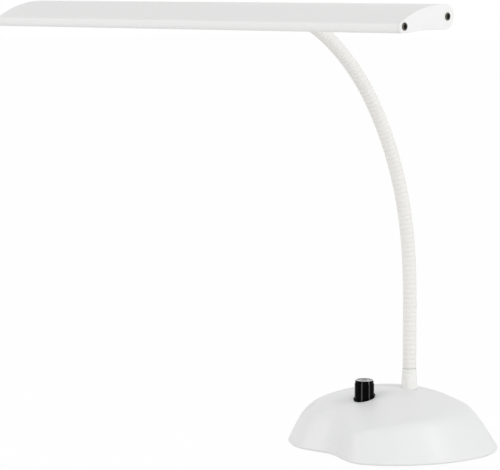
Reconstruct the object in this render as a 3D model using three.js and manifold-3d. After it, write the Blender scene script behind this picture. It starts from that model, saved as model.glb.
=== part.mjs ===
// Desk lamp: a long light bar on a ribbed flexible neck, over a weighted base shaped like a grand piano.
// Millimetres, +Z up. The origin is on the table, under the foot of the neck. The bar runs along X,
// and the neck leans forward, towards -Y.
import * as THREE from 'three';
import { mergeVertices } from 'three/addons/utils/BufferGeometryUtils.js';
import Module from 'manifold-3d';

const wasm = await Module();
wasm.setup();

// Fits
const seatGap = 0.3;
const cutOverrun = 2;
const smallSides = 20;
const roundSides = 24;
const fineSides = 32;
const nutSides = 6;
const cornerSteps = 5;
const sectionSteps = 8;
const weldDistance = 1e-4;

// Light bar, outside
const barLength = 450;
const barDepth = 63;
const barHeight = 22.3;
const soleRise = 2.2;
const rampLength = 15;
const noseLowerRadius = 3.4;
const noseUpperRadius = 2.6;
const noseUpperCentre = 6;
const crownRearRun = 21;
const barWall = 1.3;
const endCapThickness = 2.5;
const endCapEdge = 0.5;

// Light bar, inside
const windowFront = 10.5;
const windowRearBand = 6.45;
const diffuserLap = 2.3;
const diffuserThickness = 2;
const webHeight = 12.2;
const webThickness = 1.2;
const ledBoardWidth = 18;
const ledBoardThickness = 1.2;
const ledBoardEndSpace = 9;
const ledCount = 24;
const ledLength = 3.5;
const ledWidth = 2.8;
const ledThickness = 0.8;
const bossRadius = 3.4;
const noseScrewSetback = 3.9;
const noseScrewHeight = 4.9;
const mountPocketWidth = 34;
const mountPocketDepth = 17;

// Screws of the end caps
const capScrewHeadRadius = 3;
const capScrewHeadHeight = 1.5;
const capScrewShankRadius = 1.2;
const capScrewLength = 12;
const crossSlotWidth = 0.9;
const crossSlotDepth = 0.9;
const crossSlotShare = 0.55;
const screwCrownShare = 0.75;
const screwRimShare = 0.4;

// Neck
const ribPitch = 4.2;
const ribRadius = 6.1;
const grooveRadius = 5.5;
const ribSides = 8;
const ribsBelowFirstFlex = 3;
const ribsPerLink = 10;
const flexCount = 10;
const ribsAboveLastFlex = 7;
const ribsPerBoreRing = 5;
const boreRadius = 1.8;
const flexHalfGap = 0.9;
const flexDomeRadius = 3.8;
const flexCupRadius = 4.4;
const flexDomeSteps = 3;
const spigotRadius = 4.1;
const spigotLength = 8;
const footStraight = 54.6;
const lowBendRadius = 500;
const lowBendAngle = 5.6;
const middleBendRadius = 283.5;
const middleBendAngle = 34.9;
const highBendRadius = 217.5;
const highBendAngle = 58;
const topBendRadius = 125;
const topBendAngle = 90;

// Collar at the neck's foot, and the threaded pipe that holds it
const collarHeight = 17.35;
const collarTopRadius = 6.4;
const collarFootRadius = 6.7;
const collarLip = 0.8;
const collarRingDrop = 4;
const collarRingDepth = 0.15;
const pipeRadius = 4.1;
const pipeBore = 2.4;
const pipeDrop = 11;
const pipePlateMargin = 2.9;
const pipePlateThickness = 2;
const pipeNutRadius = 7.5;
const pipeNutThickness = 5;

// Fittings that hold the bar to the neck
const ferruleLength = 18;
const ferruleRimRadius = 6.4;
const ferruleRootRadius = 7.4;
const ferruleLip = 0.6;
const ferruleTailRadius = 4.5;
const ferruleTailBore = 2.4;
const ferruleTailLength = 19;
const saddleWidth = 26;
const saddleHeight = 17;
const saddleStand = 6.4;
const saddleCorner = 4;
const saddleWrap = 3;
const innerSaddleWidth = 20;
const innerSaddleHeight = 13;
const innerSaddleThickness = 4;
const innerSaddleCorner = 2;
const ferruleNutRadius = 7.5;
const ferruleNutThickness = 4;

// Base cover
const baseWidth = 180;
const baseDepth = 160;
const rimStand = 0.8;
const rimRound = 1;
const wallAngle = 59.3;
const wallAngleLean = 6;
const domeTop = 51.6;
const domeCentreX = -20.3;
const domeCentreY = 0.9;
const domeLongRadius = 268;
const domeShortRadius = 154.5;
const domeTurn = -13.7;
const domeLiftReach = 100;
const domeLift = 6;
const edgeSoftness = 6.5;
const coverWall = 2.5;
const outlineSides = 52;
const wallStep = 7;
const wallSteps = 2;
const deckShrinkShares = [0.91, 0.82, 0.72, 0.56, 0.36, 0.16];

// Plan of the base, counter-clockwise from its tail: shares of its width and depth from the neck's foot
const planShares = [
  [-0.478, -0.413],
  [-0.413, -0.482],
  [-0.355, -0.53],
  [-0.28, -0.562],
  [-0.19, -0.564],
  [-0.091, -0.566],
  [0.041, -0.634],
  [0.123, -0.674],
  [0.179, -0.682],
  [0.222, -0.671],
  [0.289, -0.629],
  [0.361, -0.56],
  [0.42, -0.474],
  [0.47, -0.376],
  [0.503, -0.252],
  [0.515, -0.129],
  [0.512, -0.024],
  [0.492, 0.06],
  [0.457, 0.14],
  [0.396, 0.229],
  [0.3, 0.297],
  [0.111, 0.313],
  [-0.111, 0.291],
  [-0.322, 0.188],
  [-0.444, -0.037],
  [-0.489, -0.25],
];

// Underside of the base
const padThickness = 2.5;
const padInset = 7;
const plateThickness = 2;
const ballastThickness = 14;
const ballastMargin = 2;
const coverBossRadius = 4;
const ballastHoleMargin = 1.2;
const baseScrewHeadRadius = 2.8;
const baseScrewHeadHeight = 1.8;
const baseScrewShankRadius = 1.4;
const baseScrewLength = 12;
const screwPassMargin = 0.5;
const baseScrewShares = [
  [0.3, -0.36],
  [0.32, 0.08],
  [-0.3, -0.36],
  [-0.28, 0.04],
];

// Dimmer and its knob
const knobX = -14;
const knobY = -45;
const knobRestTurn = 21;
const bezelRadius = 9.7;
const bezelThickness = 0.7;
const bezelSleeveRadius = 9.2;
const bezelSleeveWall = 0.35;
const bezelStand = 1.2;
const wellDepth = 3;
const knobFootRadius = 8.55;
const knobShoulderRadius = 8.5;
const knobTopRadius = 8.05;
const knobTopHeight = 15.6;
const knobShoulderDrop = 2.9;
const knobFlutes = 8;
const knobFluteDepth = 0.2;
const knobSidesPerFlute = 4;
const knobEdge = 0.4;
const knobRecessRadius = 6.9;
const knobRecessHeight = 4.6;
const knobCapRadius = 7.65;
const knobCapThickness = 0.8;
const knobCapPegRadius = 2.4;
const knobCapPegLength = 1.2;
const shaftRadius = 3;
const shaftFlat = 1.5;
const shaftTopHeight = 11;
const shaftTail = 5;
const bushRadius = 3.5;
const bushHeight = 4.2;
const potRadius = 8.2;
const potHeight = 7.5;
const potTagWidth = 10;
const potTagLength = 5;
const potTagThickness = 1.4;
const potWasherRadius = 6;
const potWasherThickness = 0.8;
const potNutRadius = 5.6;
const potNutThickness = 1.8;

// Power inlet at the back
const inletX = -10;
const inletHeight = 15;
const inletPocketWidth = 17;
const inletPocketHeight = 13;
const inletPocketDepth = 15;
const inletFlangeRadius = 5.4;
const inletFlangeThickness = 1.2;
const inletBarrelRadius = 4.4;
const inletBarrelLength = 15;
const inletSocketRadius = 3.1;
const inletSocketDepth = 10;
const inletPinRadius = 1;
const inletPinSink = 1.5;
const inletNutRadius = 6.6;
const inletNutThickness = 2.4;
const inletBallastNotchWidth = 26;

// Driver board on the ballast
const boardX = 28;
const boardY = -32;
const boardLength = 46;
const boardWidth = 34;
const boardThickness = 1.6;
const boardStand = 3;
const boardPostRadius = 3.2;
const boardScrewRadius = 1.1;
const boardScrewHeadRadius = 2.2;
const boardScrewHeadHeight = 1.4;
const boardScrewLength = 6;
const boardScrewInset = 4;
const coilRadius = 5;
const coilHeight = 7;
const capacitorRadius = 3.2;
const capacitorHeight = 9;
const chipLength = 8;
const chipWidth = 6;
const chipHeight = 1.8;

// Leads inside the base and inside the bar
const leadRadius = 1.2;
const leadSides = 6;
const leadSteps = 10;
const leadRise = 6;

// Finishes
const whitePaint = finish(0xebebe9, 0.42, 0);
const whitePlastic = finish(0xe9e9e7, 0.4, 0);
const whiteSleeve = finish(0xeae7e2, 0.5, 0);
const opal = finish(0xf6f5f0, 0.35, 0);
const blackGloss = finish(0x0a0a0b, 0.22, 0);
const blackSteel = finish(0x17171a, 0.38, 0.8);
const silverDisc = finish(0x9a9a9c, 0.3, 0.85);
const steel = finish(0xb5b7ba, 0.35, 0.9);
const castIron = finish(0x3d3e40, 0.8, 0.5);
const rubber = finish(0x232324, 0.85, 0);
const circuitWhite = finish(0xe4e6e2, 0.5, 0);
const circuitGreen = finish(0x2c5c3d, 0.5, 0);
const blackPlastic = finish(0x151516, 0.5, 0);
const leadSheath = finish(0xd6d4cf, 0.55, 0);

function finish(color, roughness, metalness) {
  return new THREE.MeshStandardMaterial({ color, roughness, metalness });
}

// Solids, joins and cuts

function solid(geometry) {
  const bare = geometry.clone();
  bare.deleteAttribute('normal');
  bare.deleteAttribute('uv');
  const merged = mergeVertices(bare, weldDistance);
  const vertProperties = new Float32Array(merged.attributes.position.array);
  const triVerts = new Uint32Array(merged.index.array);
  return new wasm.Manifold(new wasm.Mesh({ numProp: 3, vertProperties, triVerts }));
}

function geometryOf(body) {
  const { vertProperties, triVerts } = body.getMesh();
  const geometry = new THREE.BufferGeometry();
  geometry.setAttribute('position', new THREE.BufferAttribute(new Float32Array(vertProperties), 3));
  geometry.setIndex(new THREE.BufferAttribute(new Uint32Array(triVerts), 1));
  geometry.computeVertexNormals();
  return geometry;
}

function cut(body, ...tools) {
  return tools.reduce((rest, tool) => rest.subtract(tool), body);
}

function join(body, ...others) {
  return others.reduce((whole, other) => whole.add(other), body);
}

function addPiece(parent, name, shape, material) {
  const geometry = shape.isBufferGeometry ? shape : geometryOf(shape);
  const mesh = new THREE.Mesh(geometry, material);
  mesh.name = name;
  parent.add(mesh);
  return mesh;
}

// A block between two corners
function block(low, high) {
  const size = new THREE.Vector3().subVectors(high, low);
  const middle = new THREE.Vector3().addVectors(low, high).multiplyScalar(0.5);
  return solid(new THREE.BoxGeometry(size.x, size.y, size.z).translate(middle.x, middle.y, middle.z));
}

// A rod that starts at a place and runs along a direction
function rod(radius, length, place, direction, sides = smallSides) {
  const geometry = new THREE.CylinderGeometry(radius, radius, length, sides).translate(0, length / 2, 0);
  geometry.applyQuaternion(new THREE.Quaternion().setFromUnitVectors(yAxis, direction));
  return solid(geometry.translate(place.x, place.y, place.z));
}

// A profile of [radius, height] pairs turned round the Z axis, closed on the axis or on itself
function turned(profile, sides = smallSides) {
  const points = profile.map(([radius, height]) => new THREE.Vector2(radius, height));
  return new THREE.LatheGeometry(points, sides).rotateX(Math.PI / 2);
}

// An outline in the Y-Z plane drawn out along X
function drawnAlongX(shape, from, to, bevel = 0) {
  const settings = { depth: to - from - 2 * bevel, curveSegments: sectionSteps, bevelEnabled: bevel > 0 };
  Object.assign(settings, { bevelThickness: bevel, bevelSize: bevel, bevelOffset: -bevel, bevelSegments: 1 });
  const geometry = new THREE.ExtrudeGeometry(shape, settings);
  geometry.applyMatrix4(new THREE.Matrix4().makeBasis(yAxis, zAxis, xAxis));
  return geometry.translate(from + bevel, 0, 0);
}

// Rings of equal counts joined side to side, with both ends closed, or joined end to end as a loop
function loft(rings, loop = false) {
  const count = rings[0].length;
  const points = rings.flat();
  const faces = [];
  const lastRing = loop ? rings.length : rings.length - 1;
  for (let ring = 0; ring < lastRing; ring++) {
    const next = (ring + 1) % rings.length;
    for (let side = 0; side < count; side++) {
      const nextSide = (side + 1) % count;
      const a = ring * count + side;
      const b = ring * count + nextSide;
      const c = next * count + nextSide;
      const d = next * count + side;
      faces.push(a, b, c, a, c, d);
    }
  }
  if (!loop) {
    const first = points.length;
    const last = first + 1;
    const top = (rings.length - 1) * count;
    points.push(middleOf(rings[0]), middleOf(rings.at(-1)));
    for (let side = 0; side < count; side++) {
      const nextSide = (side + 1) % count;
      faces.push(first, nextSide, side, last, top + side, top + nextSide);
    }
  }
  const geometry = new THREE.BufferGeometry().setFromPoints(points);
  geometry.setIndex(faces);
  geometry.computeVertexNormals();
  return geometry;
}

function middleOf(ring) {
  const sum = ring.reduce((total, point) => total.add(point), new THREE.Vector3());
  return sum.divideScalar(ring.length);
}

const xAxis = new THREE.Vector3(1, 0, 0);
const yAxis = new THREE.Vector3(0, 1, 0);
const zAxis = new THREE.Vector3(0, 0, 1);
const down = zAxis.clone().negate();
const forward = yAxis.clone().negate();
const vector = (x, y, z) => new THREE.Vector3(x, y, z);
const radians = THREE.MathUtils.degToRad;

const lamp = new THREE.Group();

// Shape of the base cover

const planCurve = new THREE.CatmullRomCurve3(
  planShares.map(([across, deep]) => vector(across * baseWidth, deep * baseDepth, 0)),
  true,
  'centripetal',
);
const planPoints = planCurve.getSpacedPoints(outlineSides).slice(0, outlineSides);
const planMiddle = middleOf(planPoints);

// The base's plan, drawn in by a distance square to its edge
function planDrawnIn(distance) {
  return planPoints.map((point, i) => {
    const before = planPoints.at(i - 1);
    const after = planPoints[(i + 1) % outlineSides];
    const along = new THREE.Vector3().subVectors(after, before).normalize();
    return vector(point.x - along.y * distance, point.y + along.x * distance, 0);
  });
}

function planPlate(distance, low, high) {
  const points = planDrawnIn(distance);
  return solid(loft([levelRing(points, low), levelRing(points, high)]));
}

function levelRing(points, z) {
  return points.map((point) => vector(point.x, point.y, z));
}

// How far a point lies inside the plan's edge, and the wall's angle over the nearest stretch of it
function toPlanEdge(point) {
  const spot = vector(point.x, point.y, 0);
  const onEdge = vector(0, 0, 0);
  let distance = Infinity;
  let angle = wallAngle;
  planPoints.forEach((start, i) => {
    const end = planPoints[(i + 1) % outlineSides];
    new THREE.Line3(start, end).closestPointToPoint(spot, true, onEdge);
    if (onEdge.distanceTo(spot) >= distance) return;
    distance = onEdge.distanceTo(spot);
    angle = wallAngle - (wallAngleLean * (end.y - start.y)) / start.distanceTo(end);
  });
  return { distance, angle };
}

function domeHeight(x, y) {
  const spot = vector(x - domeCentreX, y - domeCentreY, 0).applyAxisAngle(zAxis, -radians(domeTurn));
  const drop = spot.x ** 2 / (2 * domeLongRadius) + spot.y ** 2 / (2 * domeShortRadius);
  return domeTop - drop + domeLift * (spot.length() / domeLiftReach) ** 4;
}

function softLower(a, b) {
  return (a + b - Math.hypot(a - b, edgeSoftness)) / 2;
}

// The cover's outer form, or the same form drawn in and lowered for its cavity
function coverForm(drawnIn, lowered, footRing) {
  const foot = rimStand + rimRound;
  const onSurface = (point) => {
    const { distance, angle } = toPlanEdge(point);
    const wall = foot + edgeSoftness / 4 + (distance - drawnIn) * Math.tan(radians(angle));
    return vector(point.x, point.y, Math.max(foot, softLower(wall, domeHeight(point.x, point.y) - lowered)));
  };
  const rings = [footRing];
  for (let step = 0; step <= wallSteps; step++) {
    rings.push(planDrawnIn(drawnIn + step * wallStep).map(onSurface));
  }
  const deck = planDrawnIn(drawnIn + wallSteps * wallStep);
  for (const share of deckShrinkShares) {
    rings.push(deck.map((point) => onSurface(new THREE.Vector3().lerpVectors(planMiddle, point, share))));
  }
  return solid(loft(rings));
}

const wallAcross = coverWall / Math.sin(radians(wallAngle));

// Heights of the pieces stacked inside the base
const plateLow = padThickness + seatGap;
const plateHigh = plateLow + plateThickness;
const ballastLow = plateHigh + seatGap;
const ballastHigh = ballastLow + ballastThickness;
const slopeAcross = (z) => (z - rimStand) / Math.tan(radians(wallAngle - wallAngleLean));
const neckSeat = domeHeight(0, 0) - seatGap * 2;
const neckBossLow = neckSeat - coverWall * 2;
const wallAtBoss = (neckBossLow - rimStand) / Math.tan(radians(wallAngle)) + wallAcross;
const pipePlateRadius = toPlanEdge(vector(0, 0, 0)).distance - wallAtBoss - pipePlateMargin;
const baseScrewPlaces = baseScrewShares.map(([across, deep]) =>
  vector(across * baseWidth, deep * baseDepth, 0),
);

// Frame of the dimmer: upright, on the dome's surface, with the knob's well sunk below it
const knobFoot = vector(knobX, knobY, domeHeight(knobX, knobY));
const wellRadius = bezelSleeveRadius + seatGap;
const atKnob = (height) => vector(knobX, knobY, knobFoot.z + height);

// Frame of the power inlet: the pocket's inner wall stands upright near the back edge
const nearInlet = planPoints.filter((point) => Math.abs(point.x - inletX) < inletPocketWidth);
const backEdge = Math.max(...nearInlet.map((point) => point.y));
const pocketFace = backEdge - inletPocketDepth;

function inletPocket(grown) {
  const across = inletPocketWidth / 2 + grown;
  const high = inletPocketHeight / 2 + grown;
  return block(
    vector(inletX - across, pocketFace - grown, inletHeight - high),
    vector(inletX + across, backEdge + cutOverrun, inletHeight + high),
  );
}

function makeBaseCover() {
  const outer = coverForm(0, 0, levelRing(planDrawnIn(rimRound), rimStand));
  const cavityFoot = levelRing(planDrawnIn(wallAcross), rimStand - cutOverrun);
  const bosses = baseScrewPlaces.map((place) =>
    rod(coverBossRadius, domeTop, vector(place.x, place.y, ballastLow), zAxis),
  );
  const neckBoss = rod(pipePlateRadius + coverWall, domeTop, vector(0, 0, neckBossLow), zAxis);
  const knobBoss = rod(wellRadius + coverWall, domeTop, atKnob(-wellDepth - coverWall), zAxis);
  const cavity = cut(
    coverForm(wallAcross, coverWall, cavityFoot),
    inletPocket(coverWall),
    neckBoss,
    knobBoss,
    ...bosses,
  );
  const screwHoles = baseScrewPlaces.map((place) =>
    rod(baseScrewShankRadius + seatGap, baseScrewLength, vector(place.x, place.y, plateHigh), zAxis),
  );
  return cut(
    outer,
    cavity,
    inletPocket(0),
    rod(collarFootRadius + seatGap, domeTop, vector(0, 0, neckSeat), zAxis),
    rod(pipeRadius + seatGap, domeTop, vector(0, 0, 0), zAxis),
    rod(wellRadius, domeTop, atKnob(-wellDepth), zAxis),
    rod(bushRadius + seatGap, domeTop, atKnob(-domeTop / 2), zAxis),
    rod(
      inletBarrelRadius + seatGap,
      inletPocketDepth,
      vector(inletX, pocketFace + cutOverrun, inletHeight),
      forward,
    ),
    ...screwHoles,
  );
}

function makeBallast() {
  const margin = wallAcross + slopeAcross(ballastHigh) + ballastMargin;
  const notchLow = vector(inletX - inletBallastNotchWidth / 2, -cutOverrun, ballastLow - cutOverrun);
  const notchFront = pocketFace - inletBarrelLength - 1.5 * leadRise;
  const posts = boardScrewPlaces().map((place) =>
    rod(boardPostRadius, boardStand + cutOverrun, vector(place.x, place.y, ballastHigh - cutOverrun), zAxis),
  );
  const postHoles = boardScrewPlaces().map((place) =>
    rod(
      boardScrewRadius + seatGap,
      boardScrewLength + cutOverrun,
      vector(place.x, place.y, boardLow() + cutOverrun),
      down,
    ),
  );
  const bossHoles = baseScrewPlaces.map((place) =>
    rod(coverBossRadius + ballastHoleMargin, domeTop, vector(place.x, place.y, 0), zAxis),
  );
  const notch = block(
    vector(notchLow.x, notchFront, notchLow.z),
    vector(inletX + inletBallastNotchWidth / 2, backEdge, ballastHigh + cutOverrun),
  );
  const slab = join(planPlate(margin, ballastLow, ballastHigh), ...posts);
  return cut(slab, notch, ...bossHoles, ...postHoles);
}

function boardLow() {
  return ballastHigh + boardStand + seatGap;
}

function boardScrewPlaces() {
  const across = boardLength / 2 - boardScrewInset;
  const deep = boardWidth / 2 - boardScrewInset;
  return [vector(boardX - across, boardY - deep, 0), vector(boardX + across, boardY + deep, 0)];
}

function makeDriverBoard() {
  const low = boardLow();
  const high = low + boardThickness;
  const plate = block(
    vector(boardX - boardLength / 2, boardY - boardWidth / 2, low),
    vector(boardX + boardLength / 2, boardY + boardWidth / 2, high),
  );
  const sunk = boardThickness / 2;
  const coilPlace = vector(boardX + boardLength / 4, boardY, high - sunk);
  const coil = rod(coilRadius, coilHeight + sunk, coilPlace, zAxis);
  const capacitorPlace = vector(boardX, boardY + boardWidth / 4, high - sunk);
  const capacitor = rod(capacitorRadius, capacitorHeight + sunk, capacitorPlace, zAxis);
  const chipLow = vector(boardX - chipLength, boardY - boardWidth / 4 - chipWidth / 2, high - sunk);
  const chip = block(chipLow, vector(boardX, chipLow.y + chipWidth, high + chipHeight));
  const holes = boardScrewPlaces().map((place) =>
    rod(boardScrewRadius + seatGap, domeTop, vector(place.x, place.y, 0), zAxis),
  );
  return cut(join(plate, coil, capacitor, chip), ...holes);
}

// A screw whose head's bearing face is at a place, with its shank running along a direction
function screw(place, direction, sizes) {
  const { headRadius, headHeight, shankRadius, length } = sizes;
  const profile = [
    [0, -headHeight],
    [headRadius * screwCrownShare, -headHeight],
    [headRadius, -headHeight * screwRimShare],
    [headRadius, 0],
    [shankRadius, 0],
    [shankRadius, length - shankRadius],
    [0, length],
  ];
  const body = solid(turned(profile, smallSides / 2));
  const slotReach = headRadius * crossSlotShare;
  const slot = (across, deep) =>
    block(
      vector(-across, -deep, -headHeight - cutOverrun),
      vector(across, deep, -headHeight + crossSlotDepth),
    );
  const slotted = cut(body, slot(slotReach, crossSlotWidth / 2), slot(crossSlotWidth / 2, slotReach));
  const geometry = geometryOf(slotted);
  geometry.applyQuaternion(new THREE.Quaternion().setFromUnitVectors(zAxis, direction));
  return geometry.translate(place.x, place.y, place.z);
}

// A six-sided nut or a washer round an axis
function ringPiece(radius, bore, thickness, place, direction, sides = smallSides) {
  const outer = rod(radius, thickness, place, direction, sides);
  const start = place.clone().addScaledVector(direction, -cutOverrun);
  return cut(outer, rod(bore, thickness + 2 * cutOverrun, start, direction));
}

// A tube along a smooth line through chosen places
function lead(places) {
  const circle = new THREE.Shape();
  for (let side = 0; side < leadSides; side++) {
    const turn = (side / leadSides) * 2 * Math.PI;
    const [across, high] = [leadRadius * Math.cos(turn), leadRadius * Math.sin(turn)];
    if (side === 0) circle.moveTo(across, high);
    else circle.lineTo(across, high);
  }
  const extrudePath = new THREE.CatmullRomCurve3(places, false, 'centripetal');
  return solid(new THREE.ExtrudeGeometry(circle, { steps: leadSteps, extrudePath, bevelEnabled: false }));
}

// Base

const base = new THREE.Group();
lamp.add(base);

addPiece(base, 'base_cover', makeBaseCover(), whitePlastic);

const padHoles = baseScrewPlaces.map((place) =>
  rod(
    baseScrewHeadRadius + screwPassMargin,
    padThickness + 2 * cutOverrun,
    vector(place.x, place.y, -cutOverrun),
    zAxis,
  ),
);
addPiece(base, 'base_pad', cut(planPlate(padInset, 0, padThickness), ...padHoles), rubber);

const plateHoles = baseScrewPlaces.map((place) =>
  rod(baseScrewShankRadius + screwPassMargin, domeTop, vector(place.x, place.y, 0), zAxis),
);
const plateInset = wallAcross + slopeAcross(plateHigh) + seatGap;
addPiece(base, 'base_plate', cut(planPlate(plateInset, plateLow, plateHigh), ...plateHoles), steel);
addPiece(base, 'ballast_weight', makeBallast(), castIron);

baseScrewPlaces.forEach((place, i) => {
  const sizes = {
    headRadius: baseScrewHeadRadius,
    headHeight: baseScrewHeadHeight,
    shankRadius: baseScrewShankRadius,
    length: baseScrewLength,
  };
  const bearing = vector(place.x, place.y, plateLow - seatGap / 2);
  addPiece(base, `base_screw_${i + 1}`, screw(bearing, zAxis, sizes), steel);
});

addPiece(base, 'driver_board', makeDriverBoard(), circuitGreen);
boardScrewPlaces().forEach((place, i) => {
  const sizes = {
    headRadius: boardScrewHeadRadius,
    headHeight: boardScrewHeadHeight,
    shankRadius: boardScrewRadius,
    length: boardScrewLength,
  };
  const bearing = vector(place.x, place.y, boardLow() + boardThickness + seatGap / 2);
  addPiece(base, `board_screw_${i + 1}`, screw(bearing, down, sizes), steel);
});

// Power inlet

function makeInlet() {
  const place = vector(inletX, pocketFace + seatGap, inletHeight);
  const barrelStart = vector(place.x, place.y + inletFlangeThickness / 2, place.z);
  const mouth = vector(place.x, place.y + inletFlangeThickness + cutOverrun, place.z);
  const flange = rod(inletFlangeRadius, inletFlangeThickness, place, yAxis);
  const barrel = rod(inletBarrelRadius, inletBarrelLength, barrelStart, forward);
  const socket = rod(inletSocketRadius, inletSocketDepth + cutOverrun, mouth, forward);
  const pinStart = vector(place.x, place.y + inletFlangeThickness - inletPinSink, place.z);
  const pin = rod(inletPinRadius, inletSocketDepth, pinStart, forward);
  return join(cut(join(flange, barrel), socket), pin);
}

addPiece(base, 'power_inlet', makeInlet(), blackPlastic);
const inletNutPlace = vector(inletX, pocketFace - coverWall - seatGap, inletHeight);
const inletNutBore = inletBarrelRadius + seatGap / 2;
addPiece(
  base,
  'power_inlet_nut',
  ringPiece(inletNutRadius, inletNutBore, inletNutThickness, inletNutPlace, forward, nutSides),
  steel,
);

// Collar at the neck's foot, held by a threaded pipe, a broad washer and a nut under the cover

const collarFoot = neckSeat + seatGap;
const collarRim = collarFoot + collarHeight;

function makeCollar() {
  const bore = pipeRadius + seatGap;
  const stepHeight = collarRim - collarRingDrop;
  const stepShare = collarRingDrop / collarHeight;
  const stepRadius = collarTopRadius + (collarFootRadius - collarTopRadius) * stepShare;
  const profile = [
    [bore, collarFoot],
    [collarFootRadius, collarFoot],
    [stepRadius, stepHeight],
    [stepRadius - collarRingDepth, stepHeight + collarRingDepth],
    [collarTopRadius, collarRim - collarLip],
    [collarTopRadius - collarLip / 2, collarRim],
    [bore, collarRim],
    [bore, collarFoot],
  ];
  return solid(turned(profile, roundSides));
}

addPiece(base, 'neck_collar', makeCollar(), whitePlastic);
const pipeLow = neckBossLow - pipeDrop;
const pipeTop = collarRim - spigotLength - seatGap;
const pipe = ringPiece(pipeRadius, pipeBore, pipeTop - pipeLow, vector(0, 0, pipeLow), zAxis);
addPiece(base, 'neck_pipe', pipe, steel);
const pipePlateTop = vector(0, 0, neckBossLow - seatGap);
addPiece(
  base,
  'neck_washer',
  ringPiece(pipePlateRadius, pipeRadius + seatGap, pipePlateThickness, pipePlateTop, down),
  steel,
);
const pipeNutTop = vector(0, 0, pipePlateTop.z - pipePlateThickness - seatGap);
addPiece(
  base,
  'neck_nut',
  ringPiece(pipeNutRadius, pipeRadius + seatGap / 2, pipeNutThickness, pipeNutTop, down, nutSides),
  steel,
);

// Neck: ribbed stretches that follow its bends. Where two meet, a dome on the lower one
// stands in a cup of the upper one, with both centred on the point where the neck flexes.

const neckBends = [
  { radius: lowBendRadius, end: lowBendAngle },
  { radius: middleBendRadius, end: middleBendAngle },
  { radius: highBendRadius, end: highBendAngle },
  { radius: topBendRadius, end: topBendAngle },
];
const neckStart = collarRim + seatGap;

function neckAt(distance) {
  const straight = Math.min(distance, footStraight);
  let left = distance - straight;
  let angle = 0;
  const place = vector(0, 0, neckStart + straight);
  for (const { radius, end } of neckBends) {
    const turn = Math.min(left / radius, radians(end) - angle);
    place.y -= radius * (Math.cos(angle) - Math.cos(angle + turn));
    place.z += radius * (Math.sin(angle + turn) - Math.sin(angle));
    angle += turn;
    left -= turn * radius;
  }
  const along = vector(0, -Math.sin(angle), Math.cos(angle));
  place.addScaledVector(along, left);
  return { place, along };
}

function neckRing(distance, offset, radius) {
  const { place, along } = neckAt(distance);
  const across = new THREE.Vector3().crossVectors(along, xAxis);
  const ring = [];
  for (let side = 0; side < ribSides; side++) {
    const turn = (side / ribSides) * 2 * Math.PI;
    const point = place.clone().addScaledVector(along, offset);
    point.addScaledVector(xAxis, radius * Math.cos(turn));
    ring.push(point.addScaledVector(across, radius * Math.sin(turn)));
  }
  return ring;
}

// One stretch of neck between two counts of ribs, with a cup or a spigot below and a dome or a spigot above
function neckStretch(firstRib, lastRib, lowEnd, highEnd) {
  const low = firstRib * ribPitch;
  const high = lastRib * ribPitch;
  const rings = [];
  const lowInset = lowEnd === 'cup' ? flexHalfGap : 0;
  const highInset = highEnd === 'dome' ? flexHalfGap : 0;
  rings.push(neckRing(low, lowInset, grooveRadius));
  for (let rib = firstRib; rib < lastRib; rib++) {
    rings.push(neckRing((rib + 0.5) * ribPitch, 0, ribRadius));
    if (rib + 1 < lastRib) rings.push(neckRing((rib + 1) * ribPitch, 0, grooveRadius));
  }
  rings.push(neckRing(high, -highInset, grooveRadius));
  if (highEnd === 'dome') {
    const from = Math.asin(-flexHalfGap / flexDomeRadius);
    const to = Math.acos(boreRadius / flexDomeRadius);
    for (let step = 0; step <= flexDomeSteps; step++) {
      const turn = from + ((to - from) * step) / flexDomeSteps;
      rings.push(neckRing(high, flexDomeRadius * Math.sin(turn), flexDomeRadius * Math.cos(turn)));
    }
  } else {
    rings.push(neckRing(high, 0, spigotRadius));
    rings.push(neckRing(high, spigotLength, spigotRadius));
    rings.push(neckRing(high, spigotLength, boreRadius));
  }
  for (let rib = lastRib - 1; rib > firstRib; rib--) {
    if ((lastRib - rib) % ribsPerBoreRing === 0) rings.push(neckRing(rib * ribPitch, 0, boreRadius));
  }
  if (lowEnd === 'cup') {
    const from = Math.acos(boreRadius / flexCupRadius);
    const to = Math.asin(flexHalfGap / flexCupRadius);
    for (let step = 0; step <= flexDomeSteps; step++) {
      const turn = from + ((to - from) * step) / flexDomeSteps;
      rings.push(neckRing(low, flexCupRadius * Math.sin(turn), flexCupRadius * Math.cos(turn)));
    }
  } else {
    rings.push(neckRing(low, -spigotLength, boreRadius));
    rings.push(neckRing(low, -spigotLength, spigotRadius));
    rings.push(neckRing(low, 0, spigotRadius));
  }
  return loft(rings, true);
}

const neck = new THREE.Group();
lamp.add(neck);
const lastFlexRib = ribsBelowFirstFlex + ribsPerLink * (flexCount - 1);
const neckRibs = lastFlexRib + ribsAboveLastFlex;
addPiece(neck, 'neck_foot', neckStretch(0, ribsBelowFirstFlex, 'spigot', 'dome'), whiteSleeve);
for (let link = 1; link < flexCount; link++) {
  const firstRib = ribsBelowFirstFlex + ribsPerLink * (link - 1);
  const piece = neckStretch(firstRib, firstRib + ribsPerLink, 'cup', 'dome');
  addPiece(neck, `neck_link_${link}`, piece, whiteSleeve);
}
addPiece(neck, 'neck_head_end', neckStretch(lastFlexRib, neckRibs, 'cup', 'spigot'), whiteSleeve);

// Dimmer: its can hangs under the floor of the well on a threaded bush, and the shaft carries the knob

const dimmer = new THREE.Group();
dimmer.position.copy(knobFoot);
lamp.add(dimmer);
const knob = new THREE.Group();
knob.rotation.z = radians(knobRestTurn);
dimmer.add(knob);
const wellFloor = -wellDepth;
const bushTop = wellFloor + bushHeight;

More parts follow.
